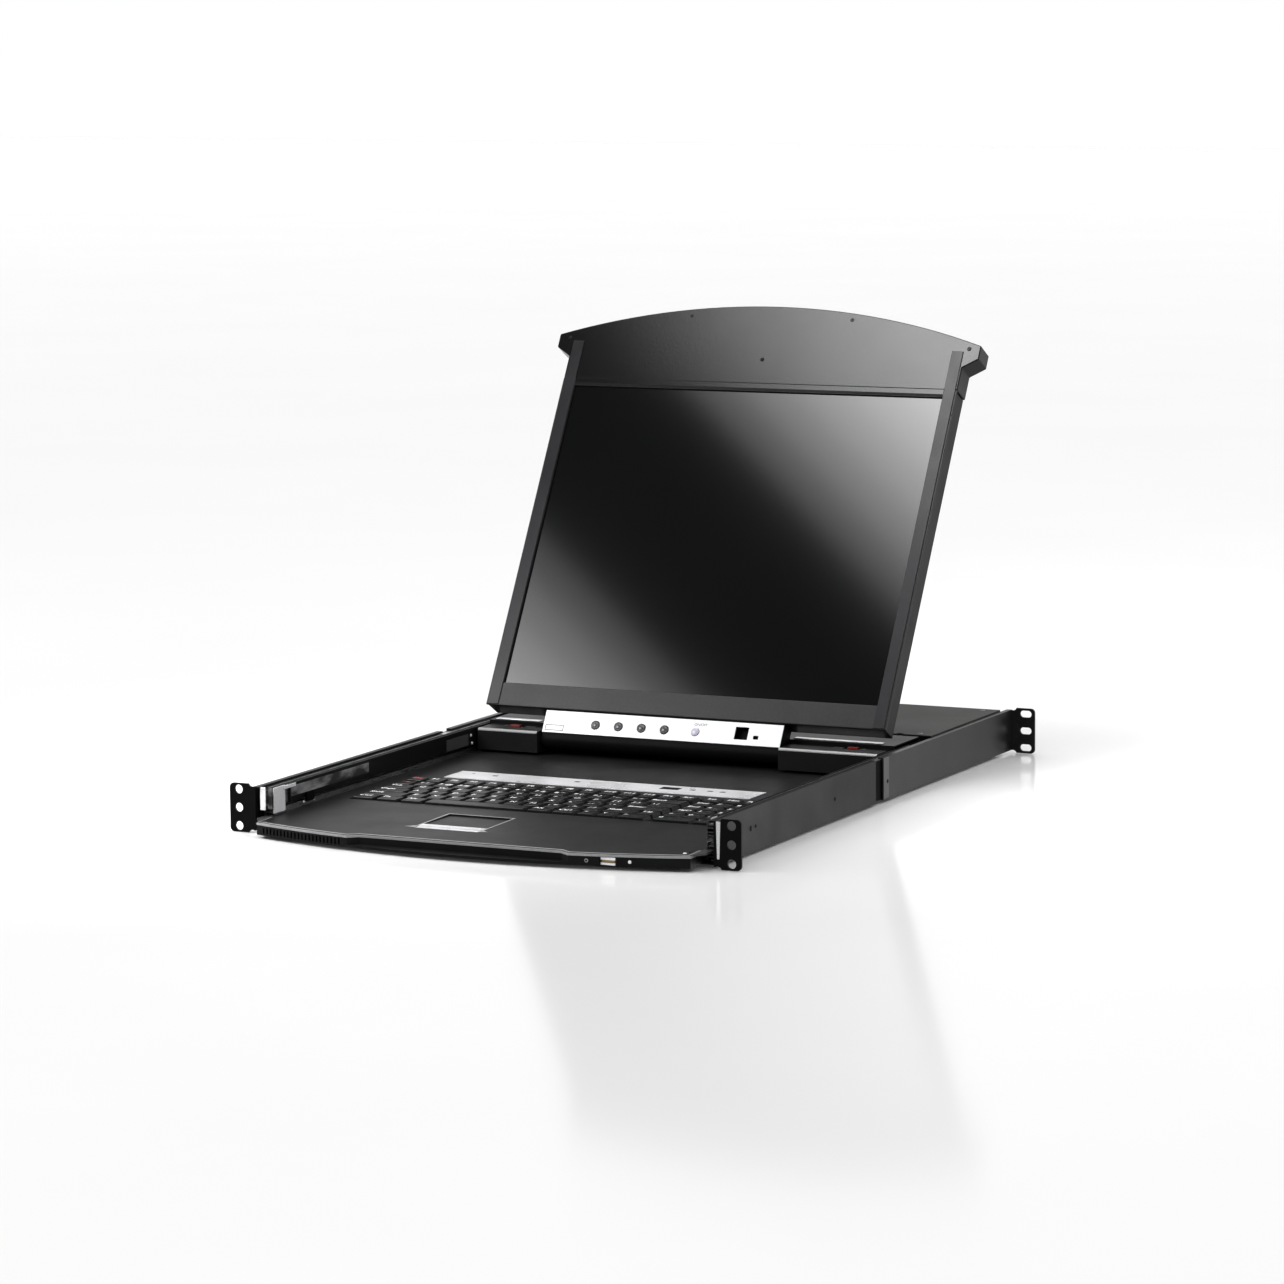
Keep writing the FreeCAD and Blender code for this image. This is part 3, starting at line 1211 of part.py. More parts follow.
def hinge_barrel():
    """Moulded base of the lid: it turns on the hinge pins and holds the control strip."""
    barrel = new_body("hinge_barrel")
    front = "lid_face - strip_sheet"
    section = [("0 * lid_foot", "-barrel_radius"), ("lid_foot", "-barrel_radius"),
               ("lid_foot", front), ("strip_foot", front), ("0 * lid_foot", front)]
    extrude(barrel, "side", [section], "strip_left + 0.5", "strip_right - 0.5")
    extrude(barrel, "side", [], "strip_left + 0.5", "strip_right - 0.5",
            circles=[("0 * lid_foot", "0 * lid_foot", "lid_face - strip_sheet")])
    for low, high in (("strip_left - 1", "strip_left + 22"), ("strip_right - 22", "strip_right + 1")):
        extrude(barrel, "side", [], low, high, cut=True,
                circles=[("0 * lid_foot", "0 * lid_foot", "pin_radius + pin_clearance")])
    reach = "(button_radius + button_gap)"
    wells = [box_outline("%s - %s" % (place, reach), "%s + %s" % (place, reach),
                         "button_row - " + reach, "button_row + " + reach)
             for place in [button_place(index) for index in range(len(BUTTON_NAMES))]
             + ["power_button_place"]]
    extrude(barrel, "top", wells, "lid_face - well_depth", "lid_face", cut=True)
    extrude(barrel, "top", [box_outline(*PORT_BOX), box_outline(*SWITCH_BOX)],
            "lid_face - port_depth", "lid_face", cut=True)
    on_lid(barrel)


def strip_button(label, place, radius):
    """A round button that stands a little out of the strip."""
    button = new_body(label)
    extrude(button, "top", [], "lid_face - well_depth + button_travel + 0.3",
            "lid_face + button_rise",
            circles=[(place, "button_row", radius)])
    on_lid(button)


# ---------------------------------------------------------------------------------------------
# Build, check and export
# ---------------------------------------------------------------------------------------------

for side in SIDES:
    front_rail(side)
    rear_bracket(side)
chassis()
rear_bulkhead()
rear_cover()
rear_panel()
main_board()
power_supply()
rear_connectors()
power_inlet()
power_rocker()

outer_slides()
for slide in SLIDES:
    middle_slides(slide)
    inner_slides(slide)
    ball_cages(slide, "outer", BALL_LEVEL, OUTER_LANE, "ball_radius")
    ball_cages(slide, "inner", SMALL_BALL_LEVEL, INNER_LANE, "small_ball_radius")

keyboard_tray()
front_fascia()
keyboard_deck()
key_guide_plate()
key_rows()
touchpad()
port_strip()
usb_socket()

carriage_frame()
for side in SIDES:
    hinge_block(side)
    release_catch(side)
hinge_pins()
latch_bars()

lid_rear_cover()
lid_bezel()
lid_side_strips()
lcd_panel()
lid_handle()
hinge_barrel()
control_strip()
for index, name in enumerate(BUTTON_NAMES):
    strip_button("%s_button" % name, button_place(index), "button_radius")
strip_button("on_off_button", "power_button_place", "power_button_radius")

doc.recompute()

for item in doc.Objects:
    if "Invalid" in item.State or "Error" in item.State:
        raise RuntimeError("%s (%s) did not compute: %s" % (item.Name, item.Label, item.State))
for cut in cuts:
    if cut.Shape.Volume > cut.BaseFeature.Shape.Volume - 1e-3:
        raise RuntimeError("%s of %s cuts nothing" % (cut.Name, cut.getParentGeoFeatureGroup().Label))
for part in sub_parts:
    if part.Shape.isNull() or not part.Shape.isValid():
        raise RuntimeError("%s has no valid shape" % part.Label)

os.makedirs("parts", exist_ok=True)
for part in sub_parts:
    part.Shape.exportStep("parts/%s.step" % part.Label)
print("%d sub-parts" % len(sub_parts))
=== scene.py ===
"""Looks for the rackmount LCD console drawer: materials, small details, light and camera.

Blender works in metres, in the part's own frame.  The pieces' sizes and places are given here in
millimetres, and the helpers turn them to metres.  Places come from the CAD nodes' boxes, or from
the lid's own flat frame, which lid_place() turns to the open lid.
"""
import json
import math

import bmesh
import bpy
from mathutils import Matrix, Vector


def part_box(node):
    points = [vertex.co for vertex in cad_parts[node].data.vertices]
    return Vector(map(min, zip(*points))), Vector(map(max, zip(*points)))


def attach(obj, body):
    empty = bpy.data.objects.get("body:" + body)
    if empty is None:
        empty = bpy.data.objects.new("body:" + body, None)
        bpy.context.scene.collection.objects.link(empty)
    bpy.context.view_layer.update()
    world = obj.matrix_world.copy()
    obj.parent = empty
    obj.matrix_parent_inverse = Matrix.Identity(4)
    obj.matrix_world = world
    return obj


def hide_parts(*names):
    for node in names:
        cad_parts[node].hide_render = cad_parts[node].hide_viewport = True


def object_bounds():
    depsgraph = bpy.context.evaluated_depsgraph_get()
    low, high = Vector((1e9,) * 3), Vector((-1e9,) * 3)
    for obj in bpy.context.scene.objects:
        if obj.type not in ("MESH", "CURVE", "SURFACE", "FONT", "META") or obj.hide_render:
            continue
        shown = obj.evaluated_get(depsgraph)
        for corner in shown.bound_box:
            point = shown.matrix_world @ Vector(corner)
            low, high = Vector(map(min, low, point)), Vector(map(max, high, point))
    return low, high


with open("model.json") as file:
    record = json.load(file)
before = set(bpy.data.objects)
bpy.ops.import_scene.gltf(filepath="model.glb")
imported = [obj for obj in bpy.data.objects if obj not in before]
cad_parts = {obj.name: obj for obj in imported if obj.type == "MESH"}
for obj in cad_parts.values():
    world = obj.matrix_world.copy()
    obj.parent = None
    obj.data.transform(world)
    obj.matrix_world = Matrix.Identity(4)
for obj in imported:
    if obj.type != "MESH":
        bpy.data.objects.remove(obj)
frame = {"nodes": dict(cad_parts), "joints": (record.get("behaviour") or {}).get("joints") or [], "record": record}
cad_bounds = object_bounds()

MM = 0.001
NODES = frame["nodes"]
BODIES = frame["record"]["behaviour"]["bodies"]
BODY_OF = {node: body for body, members in BODIES.items() for node in members}
SLOT_OF = {item["node"]: item["material_slot"] for item in frame["record"]["subparts"]}

# The hinge's place, the open lid's slope, and how far the lid's face is out from its flat frame.
HINGE = Vector(next(joint for joint in frame["joints"] if joint["name"] == "lid_hinge")["pos_m"])
LID_TURN = math.radians(60.0)
LID_FACE = 9.25


# --------------------------------------------------
# Materials
# --------------------------------------------------

COAT_ROUGHNESS = 0.1
SPECKLE_DARK = 0.86
# Width of the soft patches, in metres.
PATCH_SIZE = 0.045
# Noise seldom leaves the range between these two.
NOISE_LOW = 0.3
NOISE_HIGH = 0.7


def new_material(name, roughness, metallic=0.0, specular=0.5, coat=0.0):
    """A Principled material, its shader and the place that its noise is laid out by."""
    material = bpy.data.materials.new(name)
    material.use_nodes = True
    nodes = material.node_tree.nodes
    shader = nodes["Principled BSDF"]
    shader.inputs["Roughness"].default_value = roughness
    shader.inputs["Metallic"].default_value = metallic
    shader.inputs["Specular IOR Level"].default_value = specular
    shader.inputs["Coat Weight"].default_value = coat
    shader.inputs["Coat Roughness"].default_value = COAT_ROUGHNESS
    place = nodes.new("ShaderNodeTexCoord")
    return material, shader, place


def noise(material, place, size, detail=2.0, stretch=(1, 1, 1)):
    """Noise whose features are about that many metres across."""
    tree = material.node_tree
    mapping = tree.nodes.new("ShaderNodeMapping")
    mapping.inputs["Scale"].default_value = stretch
    texture = tree.nodes.new("ShaderNodeTexNoise")
    texture.inputs["Scale"].default_value = 1 / size
    texture.inputs["Detail"].default_value = detail
    tree.links.new(place.outputs["Object"], mapping.inputs["Vector"])
    tree.links.new(mapping.outputs["Vector"], texture.inputs["Vector"])
    return texture.outputs["Fac"]


def ramp(material, factor, stops):
    """Colours along a factor, as (position, colour) stops."""
    tree = material.node_tree
    node = tree.nodes.new("ShaderNodeValToRGB")
    elements = node.color_ramp.elements
    while len(elements) < len(stops):
        elements.new(0.5)
    for element, (position, colour) in zip(elements, stops):
        element.position = position
        element.color = (*colour, 1)
    tree.links.new(factor, node.inputs["Fac"])
    return node.outputs["Color"]


def mottled(material, factor, dark, light):
    """Noise as soft patches of two colours."""
    return ramp(material, factor, [(NOISE_LOW, dark), (NOISE_HIGH, light)])


def spread(material, factor, low, high):
    """The noise stretched to run from low to high."""
    tree = material.node_tree
    node = tree.nodes.new("ShaderNodeMapRange")
    node.inputs["From Min"].default_value = NOISE_LOW
    node.inputs["From Max"].default_value = NOISE_HIGH
    node.inputs["To Min"].default_value = low
    node.inputs["To Max"].default_value = high
    tree.links.new(factor, node.inputs["Value"])
    return node.outputs["Result"]


def bump(material, shader, factor, depth, strength):
    """Relief from a factor, to a depth in metres."""
    tree = material.node_tree
    node = tree.nodes.new("ShaderNodeBump")
    node.inputs["Strength"].default_value = strength
    node.inputs["Distance"].default_value = depth
    tree.links.new(factor, node.inputs["Height"])
    tree.links.new(node.outputs["Normal"], shader.inputs["Normal"])


def scaled(colour, share):
    """A colour made darker or lighter."""
    return tuple(min(1.0, channel * share) for channel in colour)


def grained(name, colour, roughness, grain, depth, mottle=0.12, gloss_range=0.045, **more):
    """Paint or plastic: fine grain in relief, with soft patches in its colour and its gloss."""
    material, shader, place = new_material(name, roughness, **more)
    tree = material.node_tree
    patches = noise(material, place, PATCH_SIZE, detail=4)
    fine = noise(material, place, grain)
    colours = mottled(material, patches, scaled(colour, 1 - mottle), scaled(colour, 1 + mottle))
    speckle = ramp(material, fine, [(0.35, (SPECKLE_DARK,) * 3), (0.65, (1.0, 1.0, 1.0))])
    mix = tree.nodes.new("ShaderNodeMix")
    mix.data_type = "RGBA"
    mix.blend_type = "MULTIPLY"
    mix.inputs["Factor"].default_value = 1.0
    tree.links.new(colours, mix.inputs["A"])
    tree.links.new(speckle, mix.inputs["B"])
    tree.links.new(mix.outputs["Result"], shader.inputs["Base Color"])
    gloss = spread(material, patches, roughness - gloss_range, roughness + gloss_range)
    tree.links.new(gloss, shader.inputs["Roughness"])
    bump(material, shader, fine, depth, strength=0.6)
    return material


def brushed(name, colour, roughness, along):
    """Plated or satin metal with faint marks along one axis, and cloudy patches."""
    material, shader, place = new_material(name, roughness, metallic=1.0)
    tree = material.node_tree
    stretch = tuple(0.04 if axis == along else 1.0 for axis in "xyz")
    marks = noise(material, place, size=0.0006, detail=3, stretch=stretch)
    clouds = noise(material, place, size=0.02, detail=5)
    colours = mottled(material, clouds, scaled(colour, 0.82), colour)
    tree.links.new(colours, shader.inputs["Base Color"])
    gloss = spread(material, marks, roughness - 0.06, roughness + 0.08)
    tree.links.new(gloss, shader.inputs["Roughness"])
    bump(material, shader, marks, depth=0.00002, strength=0.5)
    return material


def cloudy_slide_steel():
    """Dull plated steel: dark, with cloudy light places."""
    material, shader, place = new_material("cloudy_slide_steel", roughness=0.42)
    clouds = noise(material, place, size=0.012, detail=5, stretch=(1, 0.35, 1))
    colours = ramp(material, clouds, [(0.42, (0.050, 0.050, 0.050)), (0.62, (0.42, 0.42, 0.43))])
    material.node_tree.links.new(colours, shader.inputs["Base Color"])
    bump(material, shader, clouds, depth=0.0001, strength=0.4)
    return material


def screen_film():
    """Anti-glare film over a switched-off screen: near black, with a soft sheen."""
    material, shader, place = new_material("screen_film", roughness=0.13)
    tree = material.node_tree
    film = noise(material, place, size=0.0006)
    tint = noise(material, place, size=0.25, detail=1)
    colours = mottled(material, tint, (0.0032, 0.0035, 0.0034), (0.0046, 0.0050, 0.0049))
    tree.links.new(colours, shader.inputs["Base Color"])
    tree.links.new(spread(material, tint, 0.125, 0.135), shader.inputs["Roughness"])
    bump(material, shader, film, depth=0.00001, strength=0.2)
    return material


def circuit_board():
    """Green solder mask over copper tracks."""
    material, shader, place = new_material("circuit_board", roughness=0.4, coat=0.3)
    tracks = noise(material, place, size=0.003, detail=0, stretch=(1, 0.2, 1))
    mask = (0.008, 0.06, 0.025)
    colours = ramp(material, tracks, [(0.46, mask), (0.5, (0.02, 0.16, 0.06)), (0.54, mask)])
    material.node_tree.links.new(colours, shader.inputs["Base Color"])
    bump(material, shader, tracks, depth=0.00003, strength=0.5)
    return material


# Colour, roughness, width and depth of the grain in metres, and what differs from the usual.
GRAINED_LOOKS = {
    "powder_coat": ((0.010, 0.010, 0.011), 0.40, 0.0017, 0.00015, {"specular": 0.33}),
    "bracket_coat": ((0.026, 0.026, 0.027), 0.36, 0.0017, 0.00015, {}),
    "textured_coat": ((0.058, 0.058, 0.054), 0.55, 0.0016, 0.00012, {"mottle": 0.2}),
    # Black coat made darker still, with little shine: painted shade on the chassis walls, seen through the gaps by
    # the rails.
    "wall_coat_painted_shade": ((0.004, 0.004, 0.0045), 0.6, 0.0011, 0.00004, {"specular": 0.12}),
    "black_plastic": ((0.012, 0.0122, 0.013), 0.42, 0.0008, 0.00004, {}),
    "deck_plastic": ((0.018, 0.018, 0.019), 0.44, 0.0017, 0.00012, {}),
    "fascia_plastic": ((0.018, 0.018, 0.019), 0.42, 0.0008, 0.00004, {}),
    "bezel_plastic": ((0.043, 0.043, 0.044), 0.42, 0.0017, 0.00015, {"specular": 0.4}),
    "handle_plastic": ((0.009, 0.009, 0.0095), 0.21, 0.0017, 0.00010,
                       {"mottle": 0.05, "gloss_range": 0.01, "specular": 0.36}),
    "strip_plastic": ((0.032, 0.031, 0.034), 0.36, 0.0017, 0.00012, {"specular": 0.35}),
    "key_plastic": ((0.007, 0.007, 0.008), 0.36, 0.0006, 0.00003, {}),
    # Black plastic made darker still: painted shade on the hinge barrel under the control strip and on the slide
    # blocks inside the rails.
    "barrel_plastic_painted_shade": ((0.004, 0.004, 0.0045), 0.55, 0.0008, 0.00003, {"specular": 0.15}),
    "button_plastic": ((0.085, 0.085, 0.09), 0.28, 0.0010, 0.00002, {"coat": 0.5}),
    "light_button": ((0.50, 0.50, 0.58), 0.3, 0.0010, 0.00002, {"mottle": 0.05, "coat": 0.4}),
    "red_plastic": ((0.30, 0.035, 0.03), 0.3, 0.0010, 0.00002, {"coat": 0.4}),
    "silver_strip": ((0.80, 0.81, 0.82), 0.36, 0.0007, 0.00002,
                     {"mottle": 0.04, "specular": 0.6}),
    # Pale paint, and painted highlight on the right ear's inner edge.
    "pale_paint_and_highlight": ((0.68, 0.68, 0.69), 0.30, 0.0012, 0.00002, {"mottle": 0.10}),
    "plate_steel": ((0.90, 0.90, 0.92), 0.32, 0.0010, 0.00003, {"mottle": 0.10}),
    # Light trim round the touchpad and a rim, and painted highlight along the palm rest's front edge and the hinge
    # blocks' front edges.
    "trim_and_painted_highlight": ((0.36, 0.36, 0.365), 0.32, 0.0009, 0.00002, {"mottle": 0.10}),
    "bracket_edge": ((0.105, 0.105, 0.105), 0.36, 0.0011, 0.00006, {}),
    "brass": ((0.42, 0.30, 0.12), 0.34, 0.0008, 0.00002, {"mottle": 0.06}),
    "legend": ((0.95, 0.95, 0.95), 0.5, 0.0008, 0.00001, {"mottle": 0.03}),
    "red_legend": ((0.85, 0.20, 0.22), 0.5, 0.0008, 0.00001, {"mottle": 0.04}),
    "grey_print": ((0.10, 0.10, 0.13), 0.5, 0.0008, 0.00001, {"mottle": 0.04}),
    # Black, and painted shade: holes, dimples, screw recesses and the groove above the screen are drawn as dark
    # shapes.
    "black_and_painted_shade": ((0.006, 0.006, 0.006), 0.7, 0.0010, 0.00003, {}),
}

# Colour, roughness, and the axis that the marks run along.
BRUSHED_LOOKS = {
    "zinc_steel": ((0.66, 0.67, 0.68), 0.30, "y"),
    "cage_brass": ((0.55, 0.50, 0.38), 0.34, "y"),
    "port_silver": ((0.82, 0.83, 0.84), 0.34, "x"),
    "screw_steel": ((0.40, 0.40, 0.41), 0.35, "x"),
}

LOOKS = {
    "cloudy_slide_steel": cloudy_slide_steel(),
    "screen_film": screen_film(),
    "circuit_board": circuit_board(),
}
for look_name, (*values, more) in GRAINED_LOOKS.items():
    LOOKS[look_name] = grained(look_name, *values, **more)
for look_name, values in BRUSHED_LOOKS.items():
    LOOKS[look_name] = brushed(look_name, *values)

# Nodes that don't look like their material slot.
NODE_LOOKS = {
    "front_fascia": "fascia_plastic",
    "keyboard_deck": "deck_plastic",
    "lid_side_strips": "strip_plastic",
    "port_strip": "pale_paint_and_highlight",
    "touchpad_button_left": "pale_paint_and_highlight",
    "touchpad_button_right": "pale_paint_and_highlight",
    # The hinge barrel gets plastic darker than black plastic: painted shade under the control strip.
    "hinge_barrel": "barrel_plastic_painted_shade",
    # The chassis walls get a coat darker than the black powder coat: painted shade where they show in the gaps.
    "chassis_wall_left": "wall_coat_painted_shade",
    "chassis_wall_right": "wall_coat_painted_shade",
    "latch_bars": "port_silver",
    "lid_handle": "handle_plastic",
    "rear_bracket_left": "bracket_coat",
    "rear_bracket_right": "bracket_coat",
}

# Nodes whose edges catch the light, and how far the edges are rounded.
SOFT_EDGES = {
    "front_rail_left": 0.35,
    "front_rail_right": 0.35,
    "rear_bracket_left": 0.35,
    "rear_bracket_right": 0.35,
    "chassis_tray": 0.3,
    "rear_cover": 0.35,
    "keyboard_deck": 0.45,
    "keyboard_tray": 0.3,
    "touchpad": 0.3,
    "carriage_frame": 0.3,
    "hinge_block_left": 0.5,
    "hinge_block_right": 0.5,
    "lid_bezel": 0.4,
    "lid_handle": 0.8,
    "lid_rear_cover": 0.8,
    "lid_side_strips": 0.35,
    "control_strip": 0.25,
    "port_strip": 0.2,
    "touchpad_button_left": 0.3,
    "touchpad_button_right": 0.3,
    "latch_bars": 0.25,
    "chassis_wall_left": 0.25,
    "chassis_wall_right": 0.25,
}
for row_name in ("space", "lower", "home", "upper", "number", "function"):
    SOFT_EDGES["key_row_" + row_name] = 0.5


# --------------------------------------------------
# Geometry helpers
# --------------------------------------------------

# Turns that point a form's Z to the front, and away from or towards the middle plane.
FRONT = Matrix.Rotation(math.radians(90), 4, "X")
OUTWARD = {side: Matrix.Rotation(math.radians(90 * side), 4, "Y") for side in (-1, 1)}
INWARD = {side: OUTWARD[-side] for side in (-1, 1)}
PRINT_THICKNESS = 0.02
SCREW_SUNK = 0.3
WELD_DISTANCE = 1e-6


def box_mm(node):
    """Lowest and highest corner of a CAD node, in millimetres."""
    low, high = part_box(node)
    return low / MM, high / MM


def lid_place(x, up, out=0.0):
    """A point of the lid's flat frame, in millimetres, turned to the open lid."""
    y = HINGE.y + MM * (up * math.cos(LID_TURN) - out * math.sin(LID_TURN))
    z = HINGE.z + MM * (up * math.sin(LID_TURN) + out * math.cos(LID_TURN))
    return Vector((MM * x, y, z))


def on_lid(x=0.0, up=0.0, out=0.0):
    """A matrix at a point of the lid, with its own Z out of the screen and Y up the lid."""
    return Matrix.Translation(lid_place(x, up, out)) @ Matrix.Rotation(LID_TURN, 4, "X")


def at(x, y, z, turn=None):
    """A matrix at a point given in millimetres, turned if asked."""
    matrix = Matrix.Translation(Vector((x, y, z)) * MM)
    return matrix @ turn if turn is not None else matrix


def piece(name, mesh, body, look, smooth=False):
    """Puts a finished bmesh into the scene on a body, with its material."""
    data = bpy.data.meshes.new(name)
    mesh.to_mesh(data)
    mesh.free()
    data.materials.append(LOOKS[look])
    if smooth:
        data.shade_smooth()
        data.set_sharp_from_angle(angle=math.radians(35))
    thing = bpy.data.objects.new(name, data)
    bpy.context.scene.collection.objects.link(thing)
    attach(thing, body)


def add_box(mesh, low, high, matrix=None, bevel=0.0):
    """A box between two corners in millimetres, with its edges rounded if asked."""
    low, high = Vector(low) * MM, Vector(high) * MM
    made = bmesh.ops.create_cube(mesh, size=1.0)["verts"]
    middle, size = (low + high) / 2, high - low
    for vert in made:
        vert.co = Vector((vert.co[axis] * size[axis] + middle[axis] for axis in range(3)))
        if matrix is not None:
            vert.co = matrix @ vert.co
    if bevel:
        edges = list({edge for vert in made for edge in vert.link_edges})
        bmesh.ops.bevel(mesh, geom=edges, offset=bevel * MM, segments=2, affect="EDGES")


def add_mirrored(mesh, side, face, box, bevel):
    """A box on either side of the object, its corners given as (out from a face, y, z)."""
    (inner, front, foot), (outer, rear, top) = box
    left, right = sorted((side * (face + inner), side * (face + outer)))
    add_box(mesh, (left, front, foot), (right, rear, top), bevel=bevel)


def add_disc(mesh, matrix, profile, sides=28):
    """A round form from (radius, height) points in millimetres; a radius of 0 closes it."""
    rings = []
    for radius, height in profile:
        if radius == 0:
            rings.append([mesh.verts.new(matrix @ Vector((0, 0, height * MM)))])
            continue
        ring = []
        for step in range(sides):
            angle = 2 * math.pi * step / sides
            ring.append(mesh.verts.new(matrix @ Vector((radius * math.cos(angle) * MM,
                                                        radius * math.sin(angle) * MM,
                                                        height * MM))))
        rings.append(ring)
    for first, second in zip(rings, rings[1:]):
        for step in range(sides):
            after = (step + 1) % sides
            corners = [first[step % len(first)], first[after % len(first)],
                       second[after % len(second)], second[step % len(second)]]
            face = list(dict.fromkeys(corners))
            if len(face) > 2:
                mesh.faces.new(face)


def add_screw(mesh, matrix, radius, height):
    """A pan-head screw, its axis along the matrix's Z."""
    add_disc(mesh, matrix, [(0, height), (radius * 0.55, height), (radius * 0.9, height * 0.6),
                            (radius, 0), (radius, -SCREW_SUNK), (0, -SCREW_SUNK)])


def add_cross(mesh, matrix, radius, height):
    """The cross recess of a screw, as two dark bars just over its head: painted shade."""
    arm = radius * 0.55
    thin = radius * 0.12
    for x, y in ((arm, thin), (thin, arm)):
        add_box(mesh, (-x, -y, height - 0.05), (x, y, height + 0.02), matrix)


def add_prism(mesh, floor, top):
    """A closed form between two outlines of vertices, one over the other."""
    mesh.faces.new(top)
    mesh.faces.new(floor[::-1])
    for step in range(len(floor)):
        after = (step + 1) % len(floor)
        mesh.faces.new([floor[step], floor[after], top[after], top[step]])


def add_outline(mesh, points, low, high, matrix):
    """A prism over a closed outline of (x, y) points, all in millimetres."""
    floor = [mesh.verts.new(matrix @ (Vector((x, y, low)) * MM)) for x, y in points]
    top = [mesh.verts.new(matrix @ (Vector((x, y, high)) * MM)) for x, y in points]
    add_prism(mesh, floor, top)


def add_text(mesh, words, matrix, size, boldness=0.0):
    """Raised print: words of a given letter size in millimetres, in the matrix's XY plane."""
    curve = bpy.data.curves.new("words", "FONT")
    curve.body = words
    curve.size = size * MM
    curve.extrude = PRINT_THICKNESS * MM
    curve.offset = boldness * MM
    curve.align_x = "LEFT"
    curve.align_y = "CENTER"
    curve.resolution_u = 3
    holder = bpy.data.objects.new("words", curve)
    bpy.context.scene.collection.objects.link(holder)
    bpy.context.view_layer.update()
    data = bpy.data.meshes.new_from_object(holder)
    data.transform(matrix)
    mesh.from_mesh(data)
    bpy.data.objects.remove(holder)
    bpy.data.curves.remove(curve)
    bpy.data.meshes.remove(data)


def islands(node):
    """Boxes, in millimetres, of a node's separate solids, from left to right."""
    mesh = bmesh.new()
    mesh.from_mesh(NODES[node].data)
    bmesh.ops.remove_doubles(mesh, verts=mesh.verts, dist=WELD_DISTANCE)
    left = set(mesh.verts)
    boxes = []
    while left:
        stack = [left.pop()]
        found = [stack[0]]
        while stack:
            for edge in stack.pop().link_edges:
                for vert in edge.verts:
                    if vert in left:
                        left.remove(vert)
                        stack.append(vert)
                        found.append(vert)
        low = Vector(min(vert.co[axis] for vert in found) for axis in range(3)) / MM
        high = Vector(max(vert.co[axis] for vert in found) for axis in range(3)) / MM
        boxes.append((low, high))
    mesh.free()
    return sorted(boxes, key=lambda box: box[0].x)


def soften(node, radius):
    """Stands a copy with rounded edges in for a CAD node, so that its edges catch the light."""
    source = NODES[node]
    mesh = bmesh.new()
    mesh.from_mesh(source.data)
    bmesh.ops.remove_doubles(mesh, verts=mesh.verts, dist=WELD_DISTANCE)
    bmesh.ops.join_triangles(mesh, faces=mesh.faces, angle_face_threshold=math.radians(0.5),
                             angle_shape_threshold=math.radians(180))
    data = bpy.data.meshes.new(node + "_softened")
    mesh.to_mesh(data)
    mesh.free()
    for material in source.data.materials:
        data.materials.append(material)
    copy = bpy.data.objects.new(node + "_softened", data)
    bpy.context.scene.collection.objects.link(copy)
    modifier = copy.modifiers.new("Edges", "BEVEL")
    modifier.width = radius * MM
    modifier.segments = 2
    modifier.limit_method = "ANGLE"
    modifier.angle_limit = math.radians(50)
    modifier.use_clamp_overlap = True
    bpy.context.view_layer.update()
    shaped = copy.evaluated_get(bpy.context.evaluated_depsgraph_get())
    final = bpy.data.meshes.new_from_object(shaped)
    copy.modifiers.clear()
    copy.data = final
    final.shade_smooth()
    final.set_sharp_from_angle(angle=math.radians(15))
    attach(copy, BODY_OF[node])
    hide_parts(node)


def dress_nodes():
    """Gives every CAD node its look, and rounds the edges that show."""
    for name, node in NODES.items():
        node.data.materials.clear()
        node.data.materials.append(LOOKS[NODE_LOOKS.get(name, SLOT_OF[name])])
    for name, radius in SOFT_EDGES.items():
        soften(name, radius)


# --------------------------------------------------
# Keyboard drawer
# --------------------------------------------------

LEGENDS = {
    "function": ["Esc", "F1", "F2", "F3", "F4", "F5", "F6", "F7", "F8", "F9", "F10", "F11", "F12",
                 "Prt", "Scr", "Ins", "Hm", "PgU", "Num"],
    "number": ["` ~", "1 !", "2 @", "3 #", "4 $", "5 %", "6 ^", "7 &", "8 *", "9 (", "0 )", "- _",
               "= +", "Back", "Del", "7", "8", "9"],
    "upper": ["Tab", "Q", "W", "E", "R", "T", "Y", "U", "I", "O", "P", "[ {", "] }", "\\ |", "End",
              "4", "5", "6"],
    "home": ["Caps", "A", "S", "D", "F", "G", "H", "J", "K", "L", "; :", "' \"", "Enter", "PgD",
             "1", "2", "3"],
    "lower": ["Shift", "Z", "X", "C", "V", "B", "N", "M", ", <", ". >", "/ ?", "Shift", "Up", "+",
              "0", ".", "-"],
    "space": ["Ctrl", "Fn", "Alt", "", "Alt", "Ctrl", "<", "v", ">", "0", ".", "Ent"],
}
ROWS_WITH_RED_KEY = ("function", "number")
# Legends are drawn larger and bolder than print, so that they also stand in for the keys' glints: painted
# highlight.
LEGEND_GLINT_SIZE = 7.4
LEGEND_GLINT_BOLDNESS = 0.2
LEGEND_MARGIN = 1.0
LEGEND_DROP = 4.4
LEGEND_RISE = 0.03
KEY_SLOPE = 2.0

DRAWER_HALF = box_mm("keyboard_deck")[1].x
DECK_TOP = box_mm("keyboard_deck")[1].z
PALM_REAR = 102.0
PALM_FALL = 2.4
ARCH_APEX = box_mm("front_fascia")[0].y
ARCH_END = -18.86
ARCH_SAG = ARCH_END - ARCH_APEX
ARCH_RADIUS = (DRAWER_HALF ** 2 + ARCH_SAG ** 2) / (2 * ARCH_SAG)
ARCH_STEPS = 14
DECK_SLOPE = PALM_FALL / (PALM_REAR - ARCH_APEX)
GRIP_HALF = 95.0
GRIP_END = 104.0
GRIP_DEPTH = 6.06
SIDE_REAR = 4.0
# Places on the palm rest, as (x, y).
STUD_PLACE = (196, -12)
DIMPLE_PLACE = (199.5, -7)
# Distance of the lamp and of the small hole from the USB socket's middle.
BESIDE_SOCKET = 18.0
# Rectangles on the port strip, as (x, y) corners from its front left corner.
DISPLAY = ((205, 17), (223, 27))
PRINTS = [((along, 20), (along + 5, 24)) for along in (38, 120, 233, 250, 262)]


